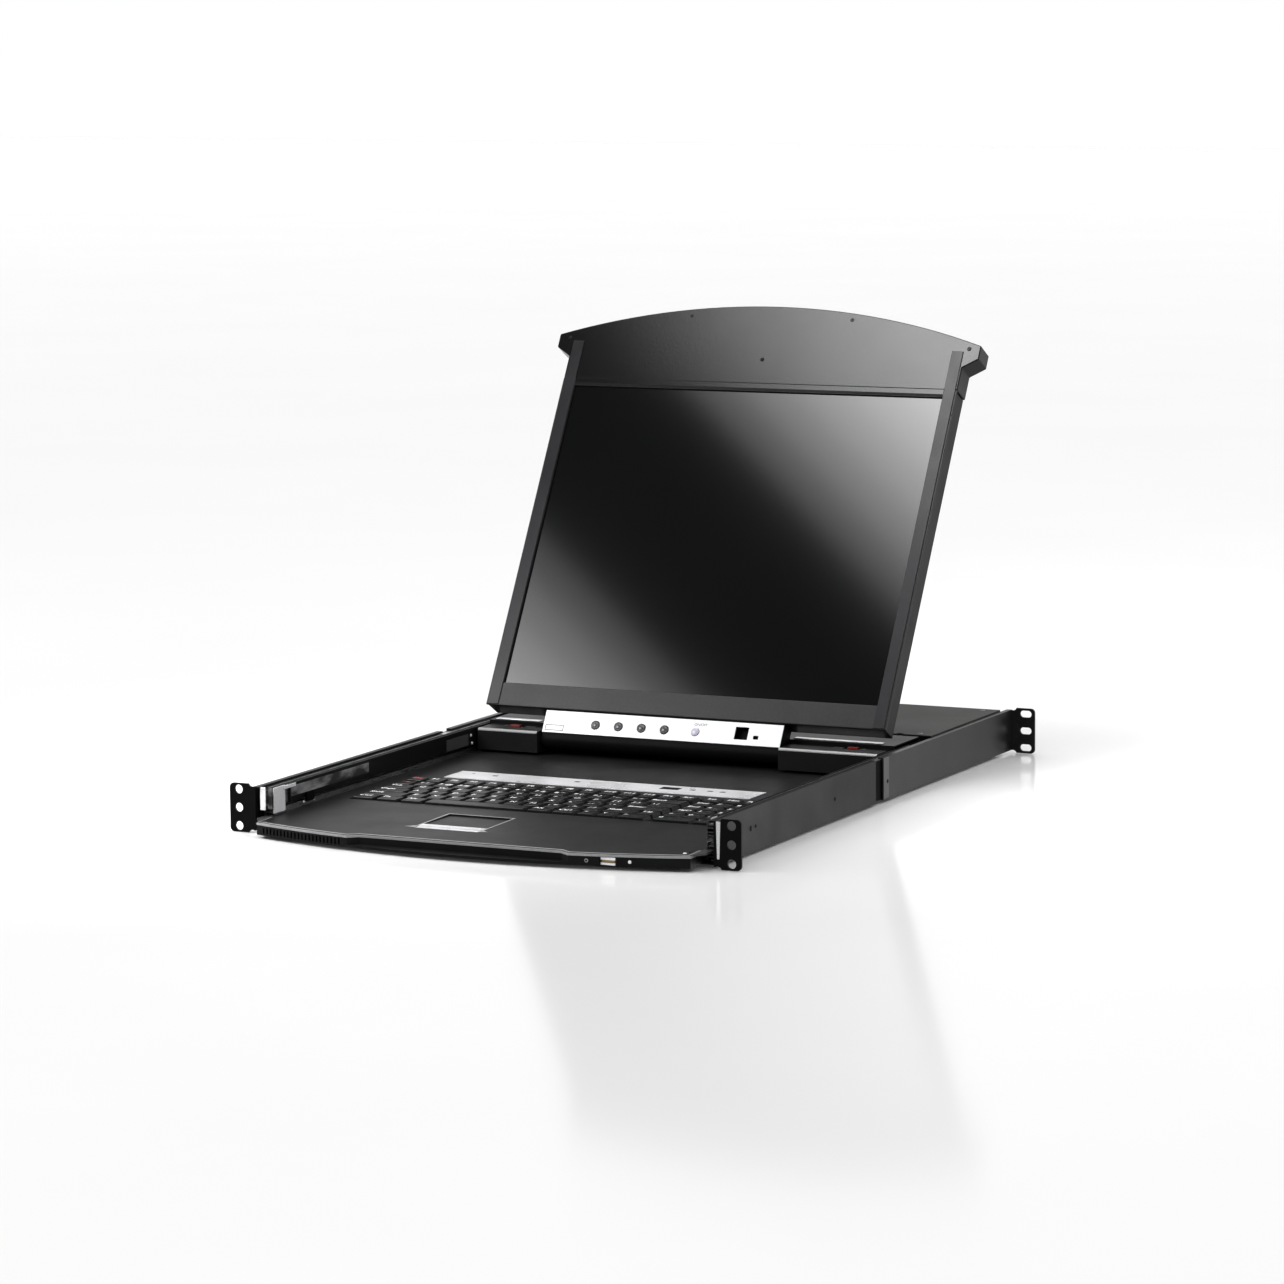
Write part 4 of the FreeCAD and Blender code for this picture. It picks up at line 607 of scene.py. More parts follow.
def key_legends_and_glints():
    """Letters and numbers at the rear left of every key, in red on two of them: print, drawn large and bold as
    painted highlight for the keys' glints.
    """
    for row, words in LEGENDS.items():
        white = bmesh.new()
        red = bmesh.new()
        for number, (low, high) in enumerate(islands("key_row_" + row)):
            if number >= len(words) or not words[number]:
                continue
            is_red = number == 0 and row in ROWS_WITH_RED_KEY
            place = at(low.x + KEY_SLOPE + LEGEND_MARGIN, high.y - KEY_SLOPE - LEGEND_DROP,
                       high.z + LEGEND_RISE)
            add_text(red if is_red else white, words[number], place, LEGEND_GLINT_SIZE, LEGEND_GLINT_BOLDNESS)
        piece("key_legends_and_glints_" + row, white, "key_row_" + row, "legend")
        if row in ROWS_WITH_RED_KEY:
            piece("red_legends_" + row, red, "key_row_" + row, "red_legend")
        else:
            red.free()


def arch_front(x):
    """Front edge of the drawer's arch."""
    return ARCH_APEX + ARCH_RADIUS - math.sqrt(ARCH_RADIUS ** 2 - x ** 2)


def deck_level(y):
    """Top of the palm rest, which slopes down to the front."""
    return DECK_TOP - max(0.0, PALM_REAR - y) * DECK_SLOPE


def on_deck(x, y):
    """A matrix at a point of the palm rest."""
    return at(x, y, deck_level(y))


def add_deck_plate(mesh, outline, rise, sunk=0.3):
    """A thin plate on the sloping palm rest, over an outline of (x, y) points."""
    floor = [mesh.verts.new(Vector((x, y, deck_level(y) - sunk)) * MM) for x, y in outline]
    top = [mesh.verts.new(Vector((x, y, deck_level(y) + rise)) * MM) for x, y in outline]
    add_prism(mesh, floor, top)


def rectangle(left, right, front, rear):
    """Outline of a rectangle on the palm rest."""
    return [(left, front), (right, front), (right, rear), (left, rear)]


def touchpad_trim():
    """Light frame round the touchpad, and its button bar's flared ends and rear part."""
    gap = 0.4
    edge = 1.7
    bar_depth = 8.5
    left_flare = 10
    right_flare = 8
    low, high = box_mm("touchpad")
    left, right, rear = low.x - gap, high.x + gap, high.y + gap
    bar_front = box_mm("touchpad_button_left")[0].y
    bar_rear = box_mm("touchpad_button_right")[1].y
    frame_mesh = bmesh.new()
    for strip in (rectangle(left - edge, left, bar_rear, rear + edge),
                  rectangle(right, right + edge, bar_rear, rear + edge),
                  rectangle(left, right, rear, rear + edge)):
        add_deck_plate(frame_mesh, strip, 0.25)
    piece("touchpad_frame", frame_mesh, "keyboard_drawer", "trim_and_painted_highlight")
    flares = bmesh.new()
    end = bar_rear + 1
    add_deck_plate(flares, [(left, bar_front), (left, end), (left - left_flare, bar_front + 1)], 0.3)
    add_deck_plate(flares, [(right, bar_front), (right + right_flare, bar_front + 2), (right, end)],
                   0.3)
    piece("touchpad_flares", flares, "keyboard_drawer", "trim_and_painted_highlight")
    bar = bmesh.new()
    add_deck_plate(bar, rectangle(left, right, bar_rear + 0.1, bar_rear + bar_depth), 0.3)
    piece("touchpad_bar", bar, "keyboard_drawer", "pale_paint_and_highlight")


def drawer_edge_path():
    """Front edge of the deck from its left side to its right, round the hand grip."""
    path = [(GRIP_HALF, arch_front(GRIP_END) + GRIP_DEPTH)]
    for step in range(ARCH_STEPS + 1):
        x = GRIP_END + (DRAWER_HALF - GRIP_END) * step / ARCH_STEPS
        path.append((x, arch_front(x)))
    path.append((DRAWER_HALF, SIDE_REAR))
    return [(-x, y) for x, y in reversed(path)] + path


def palm_edge_highlight():
    """Rounded edge along the front of the palm rest, coloured light: painted highlight where it catches the light.
    """
    # Points of its cross section: how far inward, and how far up from the palm rest.
    section = [(-0.4, -2.6), (-0.45, -1.5), (-0.1, -0.5), (0.8, 0.1), (2.6, 0.22), (2.6, -2.6)]
    path = [Vector((x, y, 0)) for x, y in drawer_edge_path()]
    mesh = bmesh.new()
    rings = []
    for number, point in enumerate(path):
        before = path[max(0, number - 1)]
        after = path[min(len(path) - 1, number + 1)]
        ahead = (after - before).normalized()
        inward = Vector((-ahead.y, ahead.x, 0))
        ring = []
        for depth, rise in section:
            place = point + inward * depth
            place.z = deck_level(point.y) + rise
            ring.append(mesh.verts.new(place * MM))
        rings.append(ring)
    for first, second in zip(rings, rings[1:]):
        for step in range(len(section)):
            after = (step + 1) % len(section)
            mesh.faces.new([first[step], second[step], second[after], first[after]])
    mesh.faces.new(rings[0])
    mesh.faces.new(rings[-1][::-1])
    bmesh.ops.recalc_face_normals(mesh, faces=mesh.faces)
    piece("palm_edge_highlight", mesh, "keyboard_drawer", "trim_and_painted_highlight", smooth=True)


def palm_wings():
    """The palm rest's thin corners, which reach out in front of the slides."""
    inner, outer = DRAWER_HALF - 0.4, DRAWER_HALF + 8.0
    inner_front, outer_front = arch_front(DRAWER_HALF) + 3.0, -5.0
    rear = 9.5
    right_corner = [(inner, inner_front), (outer, outer_front), (outer, rear), (inner, rear)]
    mesh = bmesh.new()
    for side in (-1, 1):
        outline = [(side * x, y) for x, y in right_corner][::side]
        add_deck_plate(mesh, outline, 0.1, sunk=1.6)
    piece("palm_wings", mesh, "keyboard_drawer", "bracket_edge")


def usb_socket_details():
    """Bright lips and brass contacts of the front USB socket."""
    low, high = box_mm("usb_socket")
    level = (low.z + high.z) / 2
    lips = bmesh.new()
    for foot, top in ((0.9, 3.3), (-3.3, -1.3)):
        add_box(lips, (low.x + 0.5, low.y - 0.6, level + foot),
                (high.x - 0.5, low.y + 1.5, level + top), bevel=0.3)
    piece("usb_lips", lips, "keyboard_drawer", "plate_steel")
    contacts = bmesh.new()
    add_box(contacts, (low.x + 1.2, low.y + 0.2, level - 1.0), (high.x - 1.2, low.y + 3, level + 0.6),
            bevel=0.15)
    piece("usb_contacts", contacts, "keyboard_drawer", "brass")


def lamp_and_hole():
    """The lamp on the right of the USB socket, and the small rimmed hole on its left."""
    low, high = box_mm("usb_socket")
    middle = (low.x + high.x) / 2
    level = (low.z + high.z) / 2
    x = middle + BESIDE_SOCKET
    lamp = bmesh.new()
    add_disc(lamp, at(x, arch_front(x), level, FRONT),
             [(0, 1.2), (0.8, 1.0), (1.5, 0.2), (1.5, -1), (0, -1)], 20)
    piece("drawer_lamp", lamp, "keyboard_drawer", "legend", smooth=True)
    x = middle - BESIDE_SOCKET
    hole = at(x, arch_front(x), level, FRONT)
    rim = bmesh.new()
    add_disc(rim, hole, [(0.9, 0.25), (1.3, 0.45), (1.7, 0.2), (1.7, -1), (0.9, -1)], 20)
    piece("reset_rim", rim, "keyboard_drawer", "trim_and_painted_highlight", smooth=True)
    # The hole's inside is a dark disc: painted shade.
    core = bmesh.new()
    add_disc(core, hole, [(0, 0.22), (0.95, 0.2), (0.95, -0.5), (0, -0.5)], 16)
    piece("reset_hole", core, "keyboard_drawer", "black_and_painted_shade")


def palm_fixings():
    """A light stud, and a dimple drawn as a dark disc of painted shade, at the right front corner of the palm
    rest.
    """
    stud = bmesh.new()
    add_disc(stud, on_deck(*STUD_PLACE), [(0, 0.7), (1.3, 0.6), (1.8, 0), (0, -0.3)], 20)
    piece("drawer_stud", stud, "keyboard_drawer", "legend", smooth=True)
    dimple = bmesh.new()
    add_disc(dimple, on_deck(*DIMPLE_PLACE), [(0, 0.3), (2.2, 0.25), (2.2, -0.3), (0, -0.3)], 20)
    piece("drawer_dimple", dimple, "keyboard_drawer", "black_and_painted_shade")


def add_on_port_strip(mesh, corners, sunk, rise, bevel=0.0):
    """A flat box on the port strip, over a rectangle of it."""
    low, high = box_mm("port_strip")
    (left, front), (right, rear) = corners
    add_box(mesh, (low.x + left, low.y + front, high.z - sunk),
            (low.x + right, low.y + rear, high.z + rise), bevel=bevel)


def port_strip_details():
    """The port strip's dark display and its small grey prints."""
    display = bmesh.new()
    add_on_port_strip(display, DISPLAY, 0.5, 0.15, bevel=0.1)
    piece("port_display", display, "keyboard_drawer", "black_and_painted_shade")
    prints = bmesh.new()
    for corners in PRINTS:
        add_on_port_strip(prints, corners, 0.1, 0.04)
    piece("port_prints", prints, "keyboard_drawer", "grey_print")


# --------------------------------------------------
# Lid and control strip
# --------------------------------------------------

# Places in the lid's flat frame.  The screws' are across, up and radius.
LID_SCREWS = ((-82, 428.9, 1.7), (82, 428.9, 1.9), (-204, 402.9, 1.8), (204, 402.9, 2.1))
LID_SIDE = 199.0
STUD_LEVEL = 372
STUD_DEPTH = -3
DIMPLE_LEVEL = 385.9
SCREEN_HALF = 187.4
REVEAL_FOOT = 354.0
APRON_FOOT = 356.6
APRON_TOP = 361.3
MENU_BUTTONS = ("menu_button", "right_button", "left_button", "exit_button")
BUTTON_LEVEL = 13.6
LABEL_LEFT = -134.5
LABEL_RIGHT = -116.0
LABEL_FOOT = 6.0
LABEL_TOP = 11.5
LABEL_LINE = 0.55
WORDS_LEFT = 14.0
WORDS_LEVEL = 20.6
WORDS_SIZE = 3.6


def lid_screws():
    """Dark screws on the handle, and a stud on each side of the lid."""
    heads = bmesh.new()
    crosses = bmesh.new()
    for x, up, radius in LID_SCREWS:
        add_screw(heads, on_lid(x, up, LID_FACE), radius, 0.35)
        add_cross(crosses, on_lid(x, up, LID_FACE), radius, 0.35)
    studs = bmesh.new()
    for side in (-1, 1):
        place = on_lid(side * LID_SIDE, STUD_LEVEL, STUD_DEPTH)
        add_screw(studs, place @ OUTWARD[side], 1.8, 1.0)
    piece("lid_screws", heads, "lid", "black_plastic", smooth=True)
    piece("lid_studs", studs, "lid", "screw_steel", smooth=True)
    piece("lid_screw_crosses", crosses, "lid", "black_and_painted_shade")


def head_dimple():
    """Small dimple in the lid's head, drawn as a dark disc: painted shade."""
    mesh = bmesh.new()
    add_disc(mesh, on_lid(0, DIMPLE_LEVEL, LID_FACE),
             [(0, 0.12), (1.5, 0.12), (2.1, 0.02), (2.1, -0.3), (0, -0.3)], 20)
    piece("head_dimple", mesh, "lid", "black_and_painted_shade", smooth=True)


def screen_reveal_shade():
    """Painted shade: a dark strip for the shaded groove above the screen, and the handle's lower edge down to it.
    """
    line = bmesh.new()
    add_box(line, (-SCREEN_HALF, REVEAL_FOOT, LID_FACE - 1.0),
            (SCREEN_HALF, APRON_FOOT, LID_FACE + 0.05), on_lid())
    piece("screen_reveal_shade", line, "lid", "black_and_painted_shade")
    apron = bmesh.new()
    add_box(apron, (-SCREEN_HALF, APRON_FOOT, LID_FACE - 1.0),
            (SCREEN_HALF, APRON_TOP, LID_FACE + 0.04), on_lid())
    piece("head_apron", apron, "lid", "handle_plastic")


def on_button(name):
    """A matrix at the middle of a button of the control strip."""
    low, high = box_mm(name)
    return on_lid((low.x + high.x) / 2, BUTTON_LEVEL, LID_FACE)


def button_caps():
    """Domed caps with dark rims on the menu buttons, and the light dome of the ON/OFF button."""
    for name in MENU_BUTTONS:
        cap = bmesh.new()
        add_disc(cap, on_button(name), [(0, 1.35), (1.6, 1.2), (2.6, 0.95), (3.1, 0.6)])
        piece(name + "_cap", cap, name, "button_plastic", smooth=True)
        rim = bmesh.new()
        add_disc(rim, on_button(name), [(3.2, 0.9), (4.05, 0.86), (4.05, 0.4), (3.2, 0.4)])
        piece(name + "_rim", rim, name, "black_plastic", smooth=True)
    dome = bmesh.new()
    add_disc(dome, on_button("on_off_button"), [(0, 1.3), (1.5, 1.2), (2.9, 0.95), (3.4, 0.7)])
    piece("on_off_button_cap", dome, "on_off_button", "light_button", smooth=True)


def strip_prints():
    """The bare label's frame and the plain switch words."""
    label = bmesh.new()
    for left, foot, right, top in (
            (LABEL_LEFT, LABEL_FOOT, LABEL_RIGHT, LABEL_FOOT + LABEL_LINE),
            (LABEL_LEFT, LABEL_TOP - LABEL_LINE, LABEL_RIGHT, LABEL_TOP),
            (LABEL_LEFT, LABEL_FOOT, LABEL_LEFT + LABEL_LINE, LABEL_TOP),
            (LABEL_RIGHT - LABEL_LINE, LABEL_FOOT, LABEL_RIGHT, LABEL_TOP)):
        add_box(label, (left, foot, LID_FACE - 0.02), (right, top, LID_FACE + 0.04), on_lid())
    piece("label_frame", label, "lid", "grey_print")
    words = bmesh.new()
    add_text(words, "ON/OFF", on_lid(WORDS_LEFT, WORDS_LEVEL, LID_FACE + 0.02), WORDS_SIZE)
    piece("switch_words", words, "lid", "grey_print")


# --------------------------------------------------
# Rails, slides and housing
# --------------------------------------------------

# The outside and the inside of the carriage's arms, and the outside of the rails.
SLIDE_FACE = box_mm("carriage_frame")[1].x
ARM_FACE = SLIDE_FACE - 1.2
RAIL_FACE = 217.8
# Along the rail, up and radius.
RAIL_RIVETS = ((70.0, 1.5, 2.4), (80.0, 1.9, 1.5), (244.0, -1.1, 1.9))
BRACKET_EDGE_FOOT = -17.6
BRACKET_EDGE_TOPS = {"rear_bracket_left": 16.9, "rear_bracket_right": 18.9}
BRACKET_EDGE_DEPTH = 12.0
BRACKET_RIVET_ALONG = 9.0
BRACKET_RIVET_LEVEL = -3.1
# Boxes by ARM_FACE, each with two corners as (out from it, y, z).
SLIDE_STEEL = ((-0.4, 38.0, 5.5), (0.2, 176.0, 14.4))
SLIDE_BLOCK = ((-2.5, 62.0, -2.5), (-0.2, 75.0, 5.5))
SLIDE_BRACKET = ((-0.8, 322.0, 2.0), (0.2, 364.0, 12.5))
END_ARM = ((-0.9, 25.0, 13.6), (-0.1, 46.0, 16.6))
END_SIDE_PLATE = ((-0.2, 9.0, -5.0), (1.0, 28.5, 17.2))
# Boxes by SLIDE_FACE.
EAR_SIDE_PLATE = ((3.2, 2.3, -1.5), (8.6, 3.2, 18.6))
STOP_FRONT = ((-1.6, 5.4, -0.8), (3.0, 6.6, 17.4))
STOP_SIDE = ((3.1, 3.4, 2.0), (4.2, 11.0, 15.0))
# Along the slide and up.
SMALL_DOTS = ((60.0, -2.6), (77.0, -2.6))
LARGE_DOTS = ((370.0, 10.5), (372.0, 3.0))
# Ends of the marks beside a release catch, out from its middle towards the object's middle.
BLOCK_MARKS = ((10.0, 20.0), (-12.5, -7.5))
COVER_SCREW_INSETS = (14, 110)
COVER_SCREW_EDGE = 9
# Matrices that stand a flat outline up: as the rack's front (x, z), and as a section (y, z).
UP_FRONT = Matrix(((1, 0, 0, 0), (0, 0, 1, 0), (0, 1, 0, 0), (0, 0, 0, 1)))
UP_SIDE = Matrix(((0, 0, 1, 0), (1, 0, 0, 0), (0, 1, 0, 0), (0, 0, 0, 1)))


def rail_rivets():
    """Dark rivets on the outside of both rails."""
    rivets = bmesh.new()
    for side in (-1, 1):
        for y, z, radius in RAIL_RIVETS:
            add_disc(rivets, at(side * RAIL_FACE, y, z, OUTWARD[side]),
                     [(0, 0.35), (radius * 0.6, 0.3), (radius, 0.05), (radius, -0.3), (0, -0.3)], 16)
    piece("rail_rivets", rivets, "root", "black_and_painted_shade", smooth=True)


def bracket_details():
    """The light front edge of each rear bracket and the rivet beside it."""
    for side, bracket in ((-1, "rear_bracket_left"), (1, "rear_bracket_right")):
        front = box_mm(bracket)[0].y
        edge = bmesh.new()
        box = ((-0.4, front - 0.05, BRACKET_EDGE_FOOT),
               (0.2, front + BRACKET_EDGE_DEPTH, BRACKET_EDGE_TOPS[bracket]))
        add_mirrored(edge, side, RAIL_FACE, box, 0.15)
        piece(bracket + "_edge", edge, bracket, "bracket_edge")
        rivet = bmesh.new()
        place = at(side * (RAIL_FACE + 0.2), front + BRACKET_RIVET_ALONG, BRACKET_RIVET_LEVEL,
                   OUTWARD[side])
        add_disc(rivet, place, [(0, 0.3), (1.3, 0.25), (1.9, 0.05), (1.9, -0.3), (0, -0.3)], 16)
        piece(bracket + "_rivet", rivet, bracket, "black_and_painted_shade", smooth=True)


def ear_edge_highlight():
    """A painted highlight along the right ear's inner edge, which tapers downwards."""
    outline = [(218.6, 18.8), (222.6, 18.8), (221.6, -12.5), (219.4, -12.5)]
    trim = bmesh.new()
    add_outline(trim, outline, -0.35, 0.3, UP_FRONT)
    bmesh.ops.recalc_face_normals(trim, faces=trim.faces)
    piece("ear_edge_highlights", trim, "root", "pale_paint_and_highlight")


def slide_faces():
    """What shows on the inside of the slides: dark steel with cloudy light places in front, a block, a rear
    bracket.
    """
    steel = bmesh.new()
    blocks = bmesh.new()
    dots = bmesh.new()
    brackets = bmesh.new()
    for side in (-1, 1):
        add_mirrored(steel, side, ARM_FACE, SLIDE_STEEL, 0.1)
        add_mirrored(blocks, side, ARM_FACE, SLIDE_BLOCK, 0.4)
        add_mirrored(brackets, side, ARM_FACE, SLIDE_BRACKET, 0.2)
        face = side * (ARM_FACE - 0.1)
        for y, z in SMALL_DOTS:
            add_disc(dots, at(face, y, z, INWARD[side]),
                     [(0, 0.9), (0.9, 0.7), (1.3, 0.1), (1.3, -0.2), (0, -0.2)], 14)
        for y, z in LARGE_DOTS:
            add_disc(dots, at(face, y, z, INWARD[side]),
                     [(0, 0.9), (1.0, 0.7), (1.5, 0.1), (1.5, -0.2), (0, -0.2)], 14)
    piece("slide_steel", steel, "screen_carriage", "cloudy_slide_steel")
    piece("slide_blocks", blocks, "screen_carriage", "barrel_plastic_painted_shade")
    piece("slide_dots", dots, "screen_carriage", "plate_steel", smooth=True)
    piece("slide_brackets", brackets, "screen_carriage", "bracket_edge")


def slide_ends():
    """The slides' front ends: a bright arm on both sides, plates and stops on the left."""
    plates = bmesh.new()
    for side in (-1, 1):
        add_mirrored(plates, side, ARM_FACE, END_ARM, 0.2)
    add_mirrored(plates, -1, ARM_FACE, END_SIDE_PLATE, 0.3)
    add_mirrored(plates, -1, SLIDE_FACE, EAR_SIDE_PLATE, 0.3)
    piece("slide_end_plates", plates, "screen_carriage", "plate_steel")
    stops = bmesh.new()
    add_mirrored(stops, -1, SLIDE_FACE, STOP_FRONT, 0.3)
    add_mirrored(stops, -1, SLIDE_FACE, STOP_SIDE, 0.2)
    piece("slide_stops", stops, "screen_carriage", "cloudy_slide_steel")


def block_edge_highlights():
    """Front edges of the hinge blocks over their chamfers, coloured light: painted highlight."""
    chamfer = 1.2
    mesh = bmesh.new()
    for block in ("hinge_block_left", "hinge_block_right"):
        low, high = box_mm(block)
        section = [(low.y - 0.12, high.z - chamfer - 0.9), (low.y - 0.12, high.z - chamfer + 0.05),
                   (low.y + chamfer - 0.05, high.z + 0.12), (low.y + 2.6, high.z + 0.12),
                   (low.y + 2.6, high.z - 1.8)]
        add_outline(mesh, section, low.x + 0.5, high.x - 0.5, UP_SIDE)
    bmesh.ops.recalc_face_normals(mesh, faces=mesh.faces)
    piece("block_edge_highlights", mesh, "screen_carriage", "trim_and_painted_highlight")


def block_marks():
    """Marks on the hinge blocks, a long and a short one beside each release catch."""
    mesh = bmesh.new()
    for side, inward in (("left", 1), ("right", -1)):
        level = box_mm("hinge_block_" + side)[1].z
        low, high = box_mm("release_catch_" + side)
        middle = (low.x + high.x) / 2
        for near, far in BLOCK_MARKS:
            left, right = sorted((middle + inward * near, middle + inward * far))
            add_box(mesh, (left, low.y, level - 0.2), (right, high.y, level + 0.12), bevel=0.1)
    piece("block_marks", mesh, "screen_carriage", "bracket_edge")


def housing_screws():
    """Pan-head screws of the rear cover."""
    heads = bmesh.new()
    crosses = bmesh.new()
    low, high = box_mm("rear_cover")
    near, far = COVER_SCREW_INSETS
    for x in (low.x + near, low.x + far, high.x - far, high.x - near):
        for y in (low.y + COVER_SCREW_EDGE, high.y - COVER_SCREW_EDGE):
            add_screw(heads, at(x, y, high.z), 2.2, 0.5)
            add_cross(crosses, at(x, y, high.z), 2.2, 0.5)
    piece("cover_screws", heads, "root", "screw_steel", smooth=True)
    piece("cover_screw_crosses", crosses, "root", "black_and_painted_shade")


# --------------------------------------------------
# Stage, camera and light, all in metres
# --------------------------------------------------

FLOOR_REACH = 14.0
FLOOR_GAP = 0.0005
FLOOR_DARK = (0.95, 0.95, 0.95)
FLOOR_LIGHT = (0.97, 0.97, 0.97)

# Degrees round from the front and up from the level, and the lens in millimetres.
CAMERA_AZIMUTH = 25.94
CAMERA_ELEVATION = 7.88
CAMERA_ROLL = -0.49
CAMERA_DISTANCE = 4.41774
CAMERA_TARGET = Vector((0.0071, 0.2995, 0.11727))
CAMERA_LENS = 139.74
SENSOR_WIDTH = 36.0
CLIP_END = 100.0

OVERHEAD_PLACE = Vector((0.2, 0.6, 2.6))
OVERHEAD_TARGET = Vector((0.0, 0.3, 0.1))
OVERHEAD_SIZE = 2.2
OVERHEAD_POWER = 8

# A glow is a stack of lights, each one step larger than the one behind it.
GLOW_DISTANCE = 0.9
GLOW_GAP = 0.005
GLOW_SLANT = math.radians(38.0)
GLOW_WIDTH = 0.03
GLOW_LENGTH = 0.08
GLOW_STEP = 0.085
GLOW_RINGS = 7
GLOW_SPREAD = math.radians(80.0)
# The screen's middle, in millimetres up the lid.
GLOW_MIDDLE = 200.0

# The room's brightness: what reflections see in front and behind, where one turns into the other
# (as the Y of a direction), and what all else but the camera sees.
WORLD_FRONT = 0.08
WORLD_BACK = 1.0
TURN_START = -0.75
TURN_END = 0.45
WORLD_EVEN = 0.96
VIEW_GAMMA = 0.8


def stage():
    """A pale paper floor just under the object, left out of the object's reflections."""
    mesh = bmesh.new()
    bmesh.ops.create_grid(mesh, x_segments=1, y_segments=1, size=FLOOR_REACH)
    data = bpy.data.meshes.new("floor")
    mesh.to_mesh(data)
    mesh.free()
    material, shader, place = new_material("floor_paper", roughness=0.11, specular=0.06)
    patches = noise(material, place, size=0.5, detail=3)
    colours = mottled(material, patches, FLOOR_DARK, FLOOR_LIGHT)
    material.node_tree.links.new(colours, shader.inputs["Base Color"])
    data.materials.append(material)
    floor = bpy.data.objects.new("floor", data)
    floor.location = (0, 0, cad_bounds[0].z - FLOOR_GAP)
    bpy.context.scene.collection.objects.link(floor)
    floor.visible_glossy = False


def camera_axes():
    """The camera's right, up and backward directions."""
    azimuth, elevation, roll = (math.radians(angle) for angle in
                                (CAMERA_AZIMUTH, CAMERA_ELEVATION, CAMERA_ROLL))
    back = Vector((math.sin(azimuth) * math.cos(elevation),
                   -math.cos(azimuth) * math.cos(elevation), math.sin(elevation)))
    level_right = Vector((math.cos(azimuth), math.sin(azimuth), 0))
    level_up = back.cross(level_right)
    right = math.cos(roll) * level_right + math.sin(roll) * level_up
    up = -math.sin(roll) * level_right + math.cos(roll) * level_up
    return right, up, back


def facing_matrix(right, up, back):
    """A matrix whose axes are the three directions."""
    return Matrix((right, up, back)).transposed().to_4x4()


def camera():
    """The camera, which looks at its target from the given angles."""
    right, up, back = camera_axes()
    lens = bpy.data.cameras.new("camera")
    lens.lens = CAMERA_LENS
    lens.sensor_width = SENSOR_WIDTH
    lens.clip_end = CLIP_END
    holder = bpy.data.objects.new("camera", lens)
    holder.matrix_world = facing_matrix(right, up, back)
    holder.location = CAMERA_TARGET + back * CAMERA_DISTANCE
    bpy.context.scene.collection.objects.link(holder)
    bpy.context.scene.camera = holder


def add_light(name, width, length, power):
    """A rectangular light at the origin, for its caller to place."""
    lamp = bpy.data.lights.new(name, "AREA")
    lamp.shape = "RECTANGLE"
    lamp.size = width
    lamp.size_y = length
    lamp.energy = power
    holder = bpy.data.objects.new(name, lamp)
    bpy.context.scene.collection.objects.link(holder)
    return holder


def overhead():
    """One large soft light over the object."""
    holder = add_light("overhead", OVERHEAD_SIZE, OVERHEAD_SIZE, OVERHEAD_POWER)
    holder.location = OVERHEAD_PLACE
    away = OVERHEAD_PLACE - OVERHEAD_TARGET
    holder.rotation_euler = away.to_track_quat("Z", "Y").to_euler()


def glow(name, along, across, power):
    """A soft-edged light that shines back off the lid, its edges slantwise across the screen.

    The two lengths, in millimetres, lead from the middle of the screen to the brightest place:
    across runs down to the right, and along runs square to it, up to the right.  The power is in
    watts per square metre.
    """
    rightward, downward = math.cos(GLOW_SLANT), math.sin(GLOW_SLANT)
    point = lid_place(along * downward + across * rightward,
                      GLOW_MIDDLE + along * rightward - across * downward, LID_FACE)
    lid_axes = on_lid().to_3x3()
    facing = lid_axes @ Vector((0, 0, 1))
    to_camera = camera_axes()[2]
    mirrored = 2 * facing.dot(to_camera) * facing - to_camera
    edge = lid_axes @ Vector((rightward, -downward, 0))
    short_way = mirrored.cross(edge).normalized()
    long_way = short_way.cross(mirrored)
    for ring in range(GLOW_RINGS):
        width = GLOW_WIDTH + ring * GLOW_STEP
        length = GLOW_LENGTH + ring * GLOW_STEP
        holder = add_light(name, width, length, power * width * length)
        holder.data.spread = GLOW_SPREAD
        holder.matrix_world = facing_matrix(short_way, long_way, mirrored)
        holder.location = point + mirrored * (GLOW_DISTANCE - ring * GLOW_GAP)


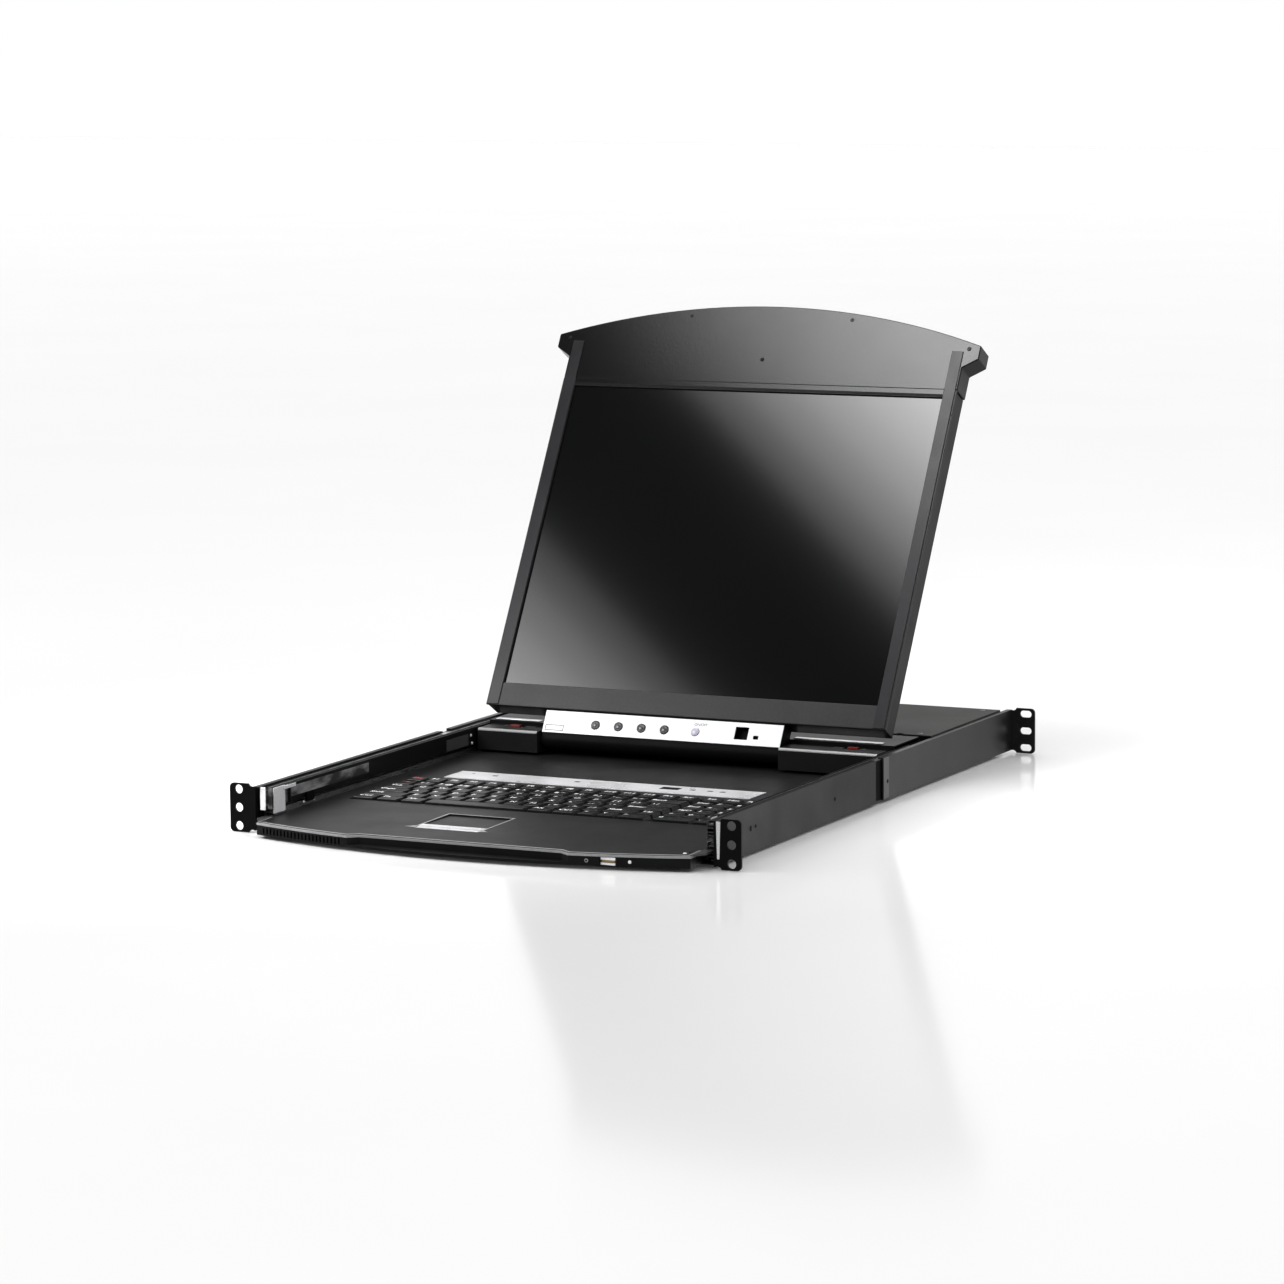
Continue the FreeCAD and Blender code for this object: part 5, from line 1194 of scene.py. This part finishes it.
def studio_world():
    """White behind the object and even all round; reflections see a dim room in front."""
    world = bpy.data.worlds.new("studio")
    bpy.context.scene.world = world
    world.use_nodes = True
    tree = world.node_tree
    background = tree.nodes["Background"]
    background.inputs["Color"].default_value = (1, 1, 1, 1)
    place = tree.nodes.new("ShaderNodeTexCoord")
    parts = tree.nodes.new("ShaderNodeSeparateXYZ")
    depth = tree.nodes.new("ShaderNodeMapRange")
    depth.interpolation_type = "SMOOTHSTEP"
    depth.inputs["From Min"].default_value = TURN_START
    depth.inputs["From Max"].default_value = TURN_END
    depth.inputs["To Min"].default_value = WORLD_FRONT
    depth.inputs["To Max"].default_value = WORLD_BACK
    seen = tree.nodes.new("ShaderNodeLightPath")
    mirrored = tree.nodes.new("ShaderNodeMix")
    mirrored.inputs["A"].default_value = WORLD_EVEN
    direct = tree.nodes.new("ShaderNodeMix")
    direct.inputs["B"].default_value = 1.0
    tree.links.new(place.outputs["Generated"], parts.inputs["Vector"])
    tree.links.new(parts.outputs["Y"], depth.inputs["Value"])
    tree.links.new(seen.outputs["Is Glossy Ray"], mirrored.inputs["Factor"])
    tree.links.new(depth.outputs["Result"], mirrored.inputs["B"])
    tree.links.new(seen.outputs["Is Camera Ray"], direct.inputs["Factor"])
    tree.links.new(mirrored.outputs["Result"], direct.inputs["A"])
    tree.links.new(direct.outputs["Result"], background.inputs["Strength"])


def view_settings():
    """Plain colours, with the middle tones a little darker."""
    view = bpy.context.scene.view_settings
    view.view_transform = "Standard"
    view.gamma = VIEW_GAMMA


# --------------------------------------------------
# Make everything
# --------------------------------------------------

dress_nodes()

key_legends_and_glints()
touchpad_trim()
palm_edge_highlight()
palm_wings()
usb_socket_details()
lamp_and_hole()
palm_fixings()
port_strip_details()

lid_screws()
head_dimple()
screen_reveal_shade()
button_caps()
strip_prints()

slide_faces()
rail_rivets()
bracket_details()
ear_edge_highlight()
block_edge_highlights()
block_marks()
slide_ends()
housing_screws()

stage()
camera()
studio_world()
view_settings()
overhead()
glow("glow_right", along=382, across=5, power=1.85)
glow("glow_left", along=-384, across=82, power=1.38)
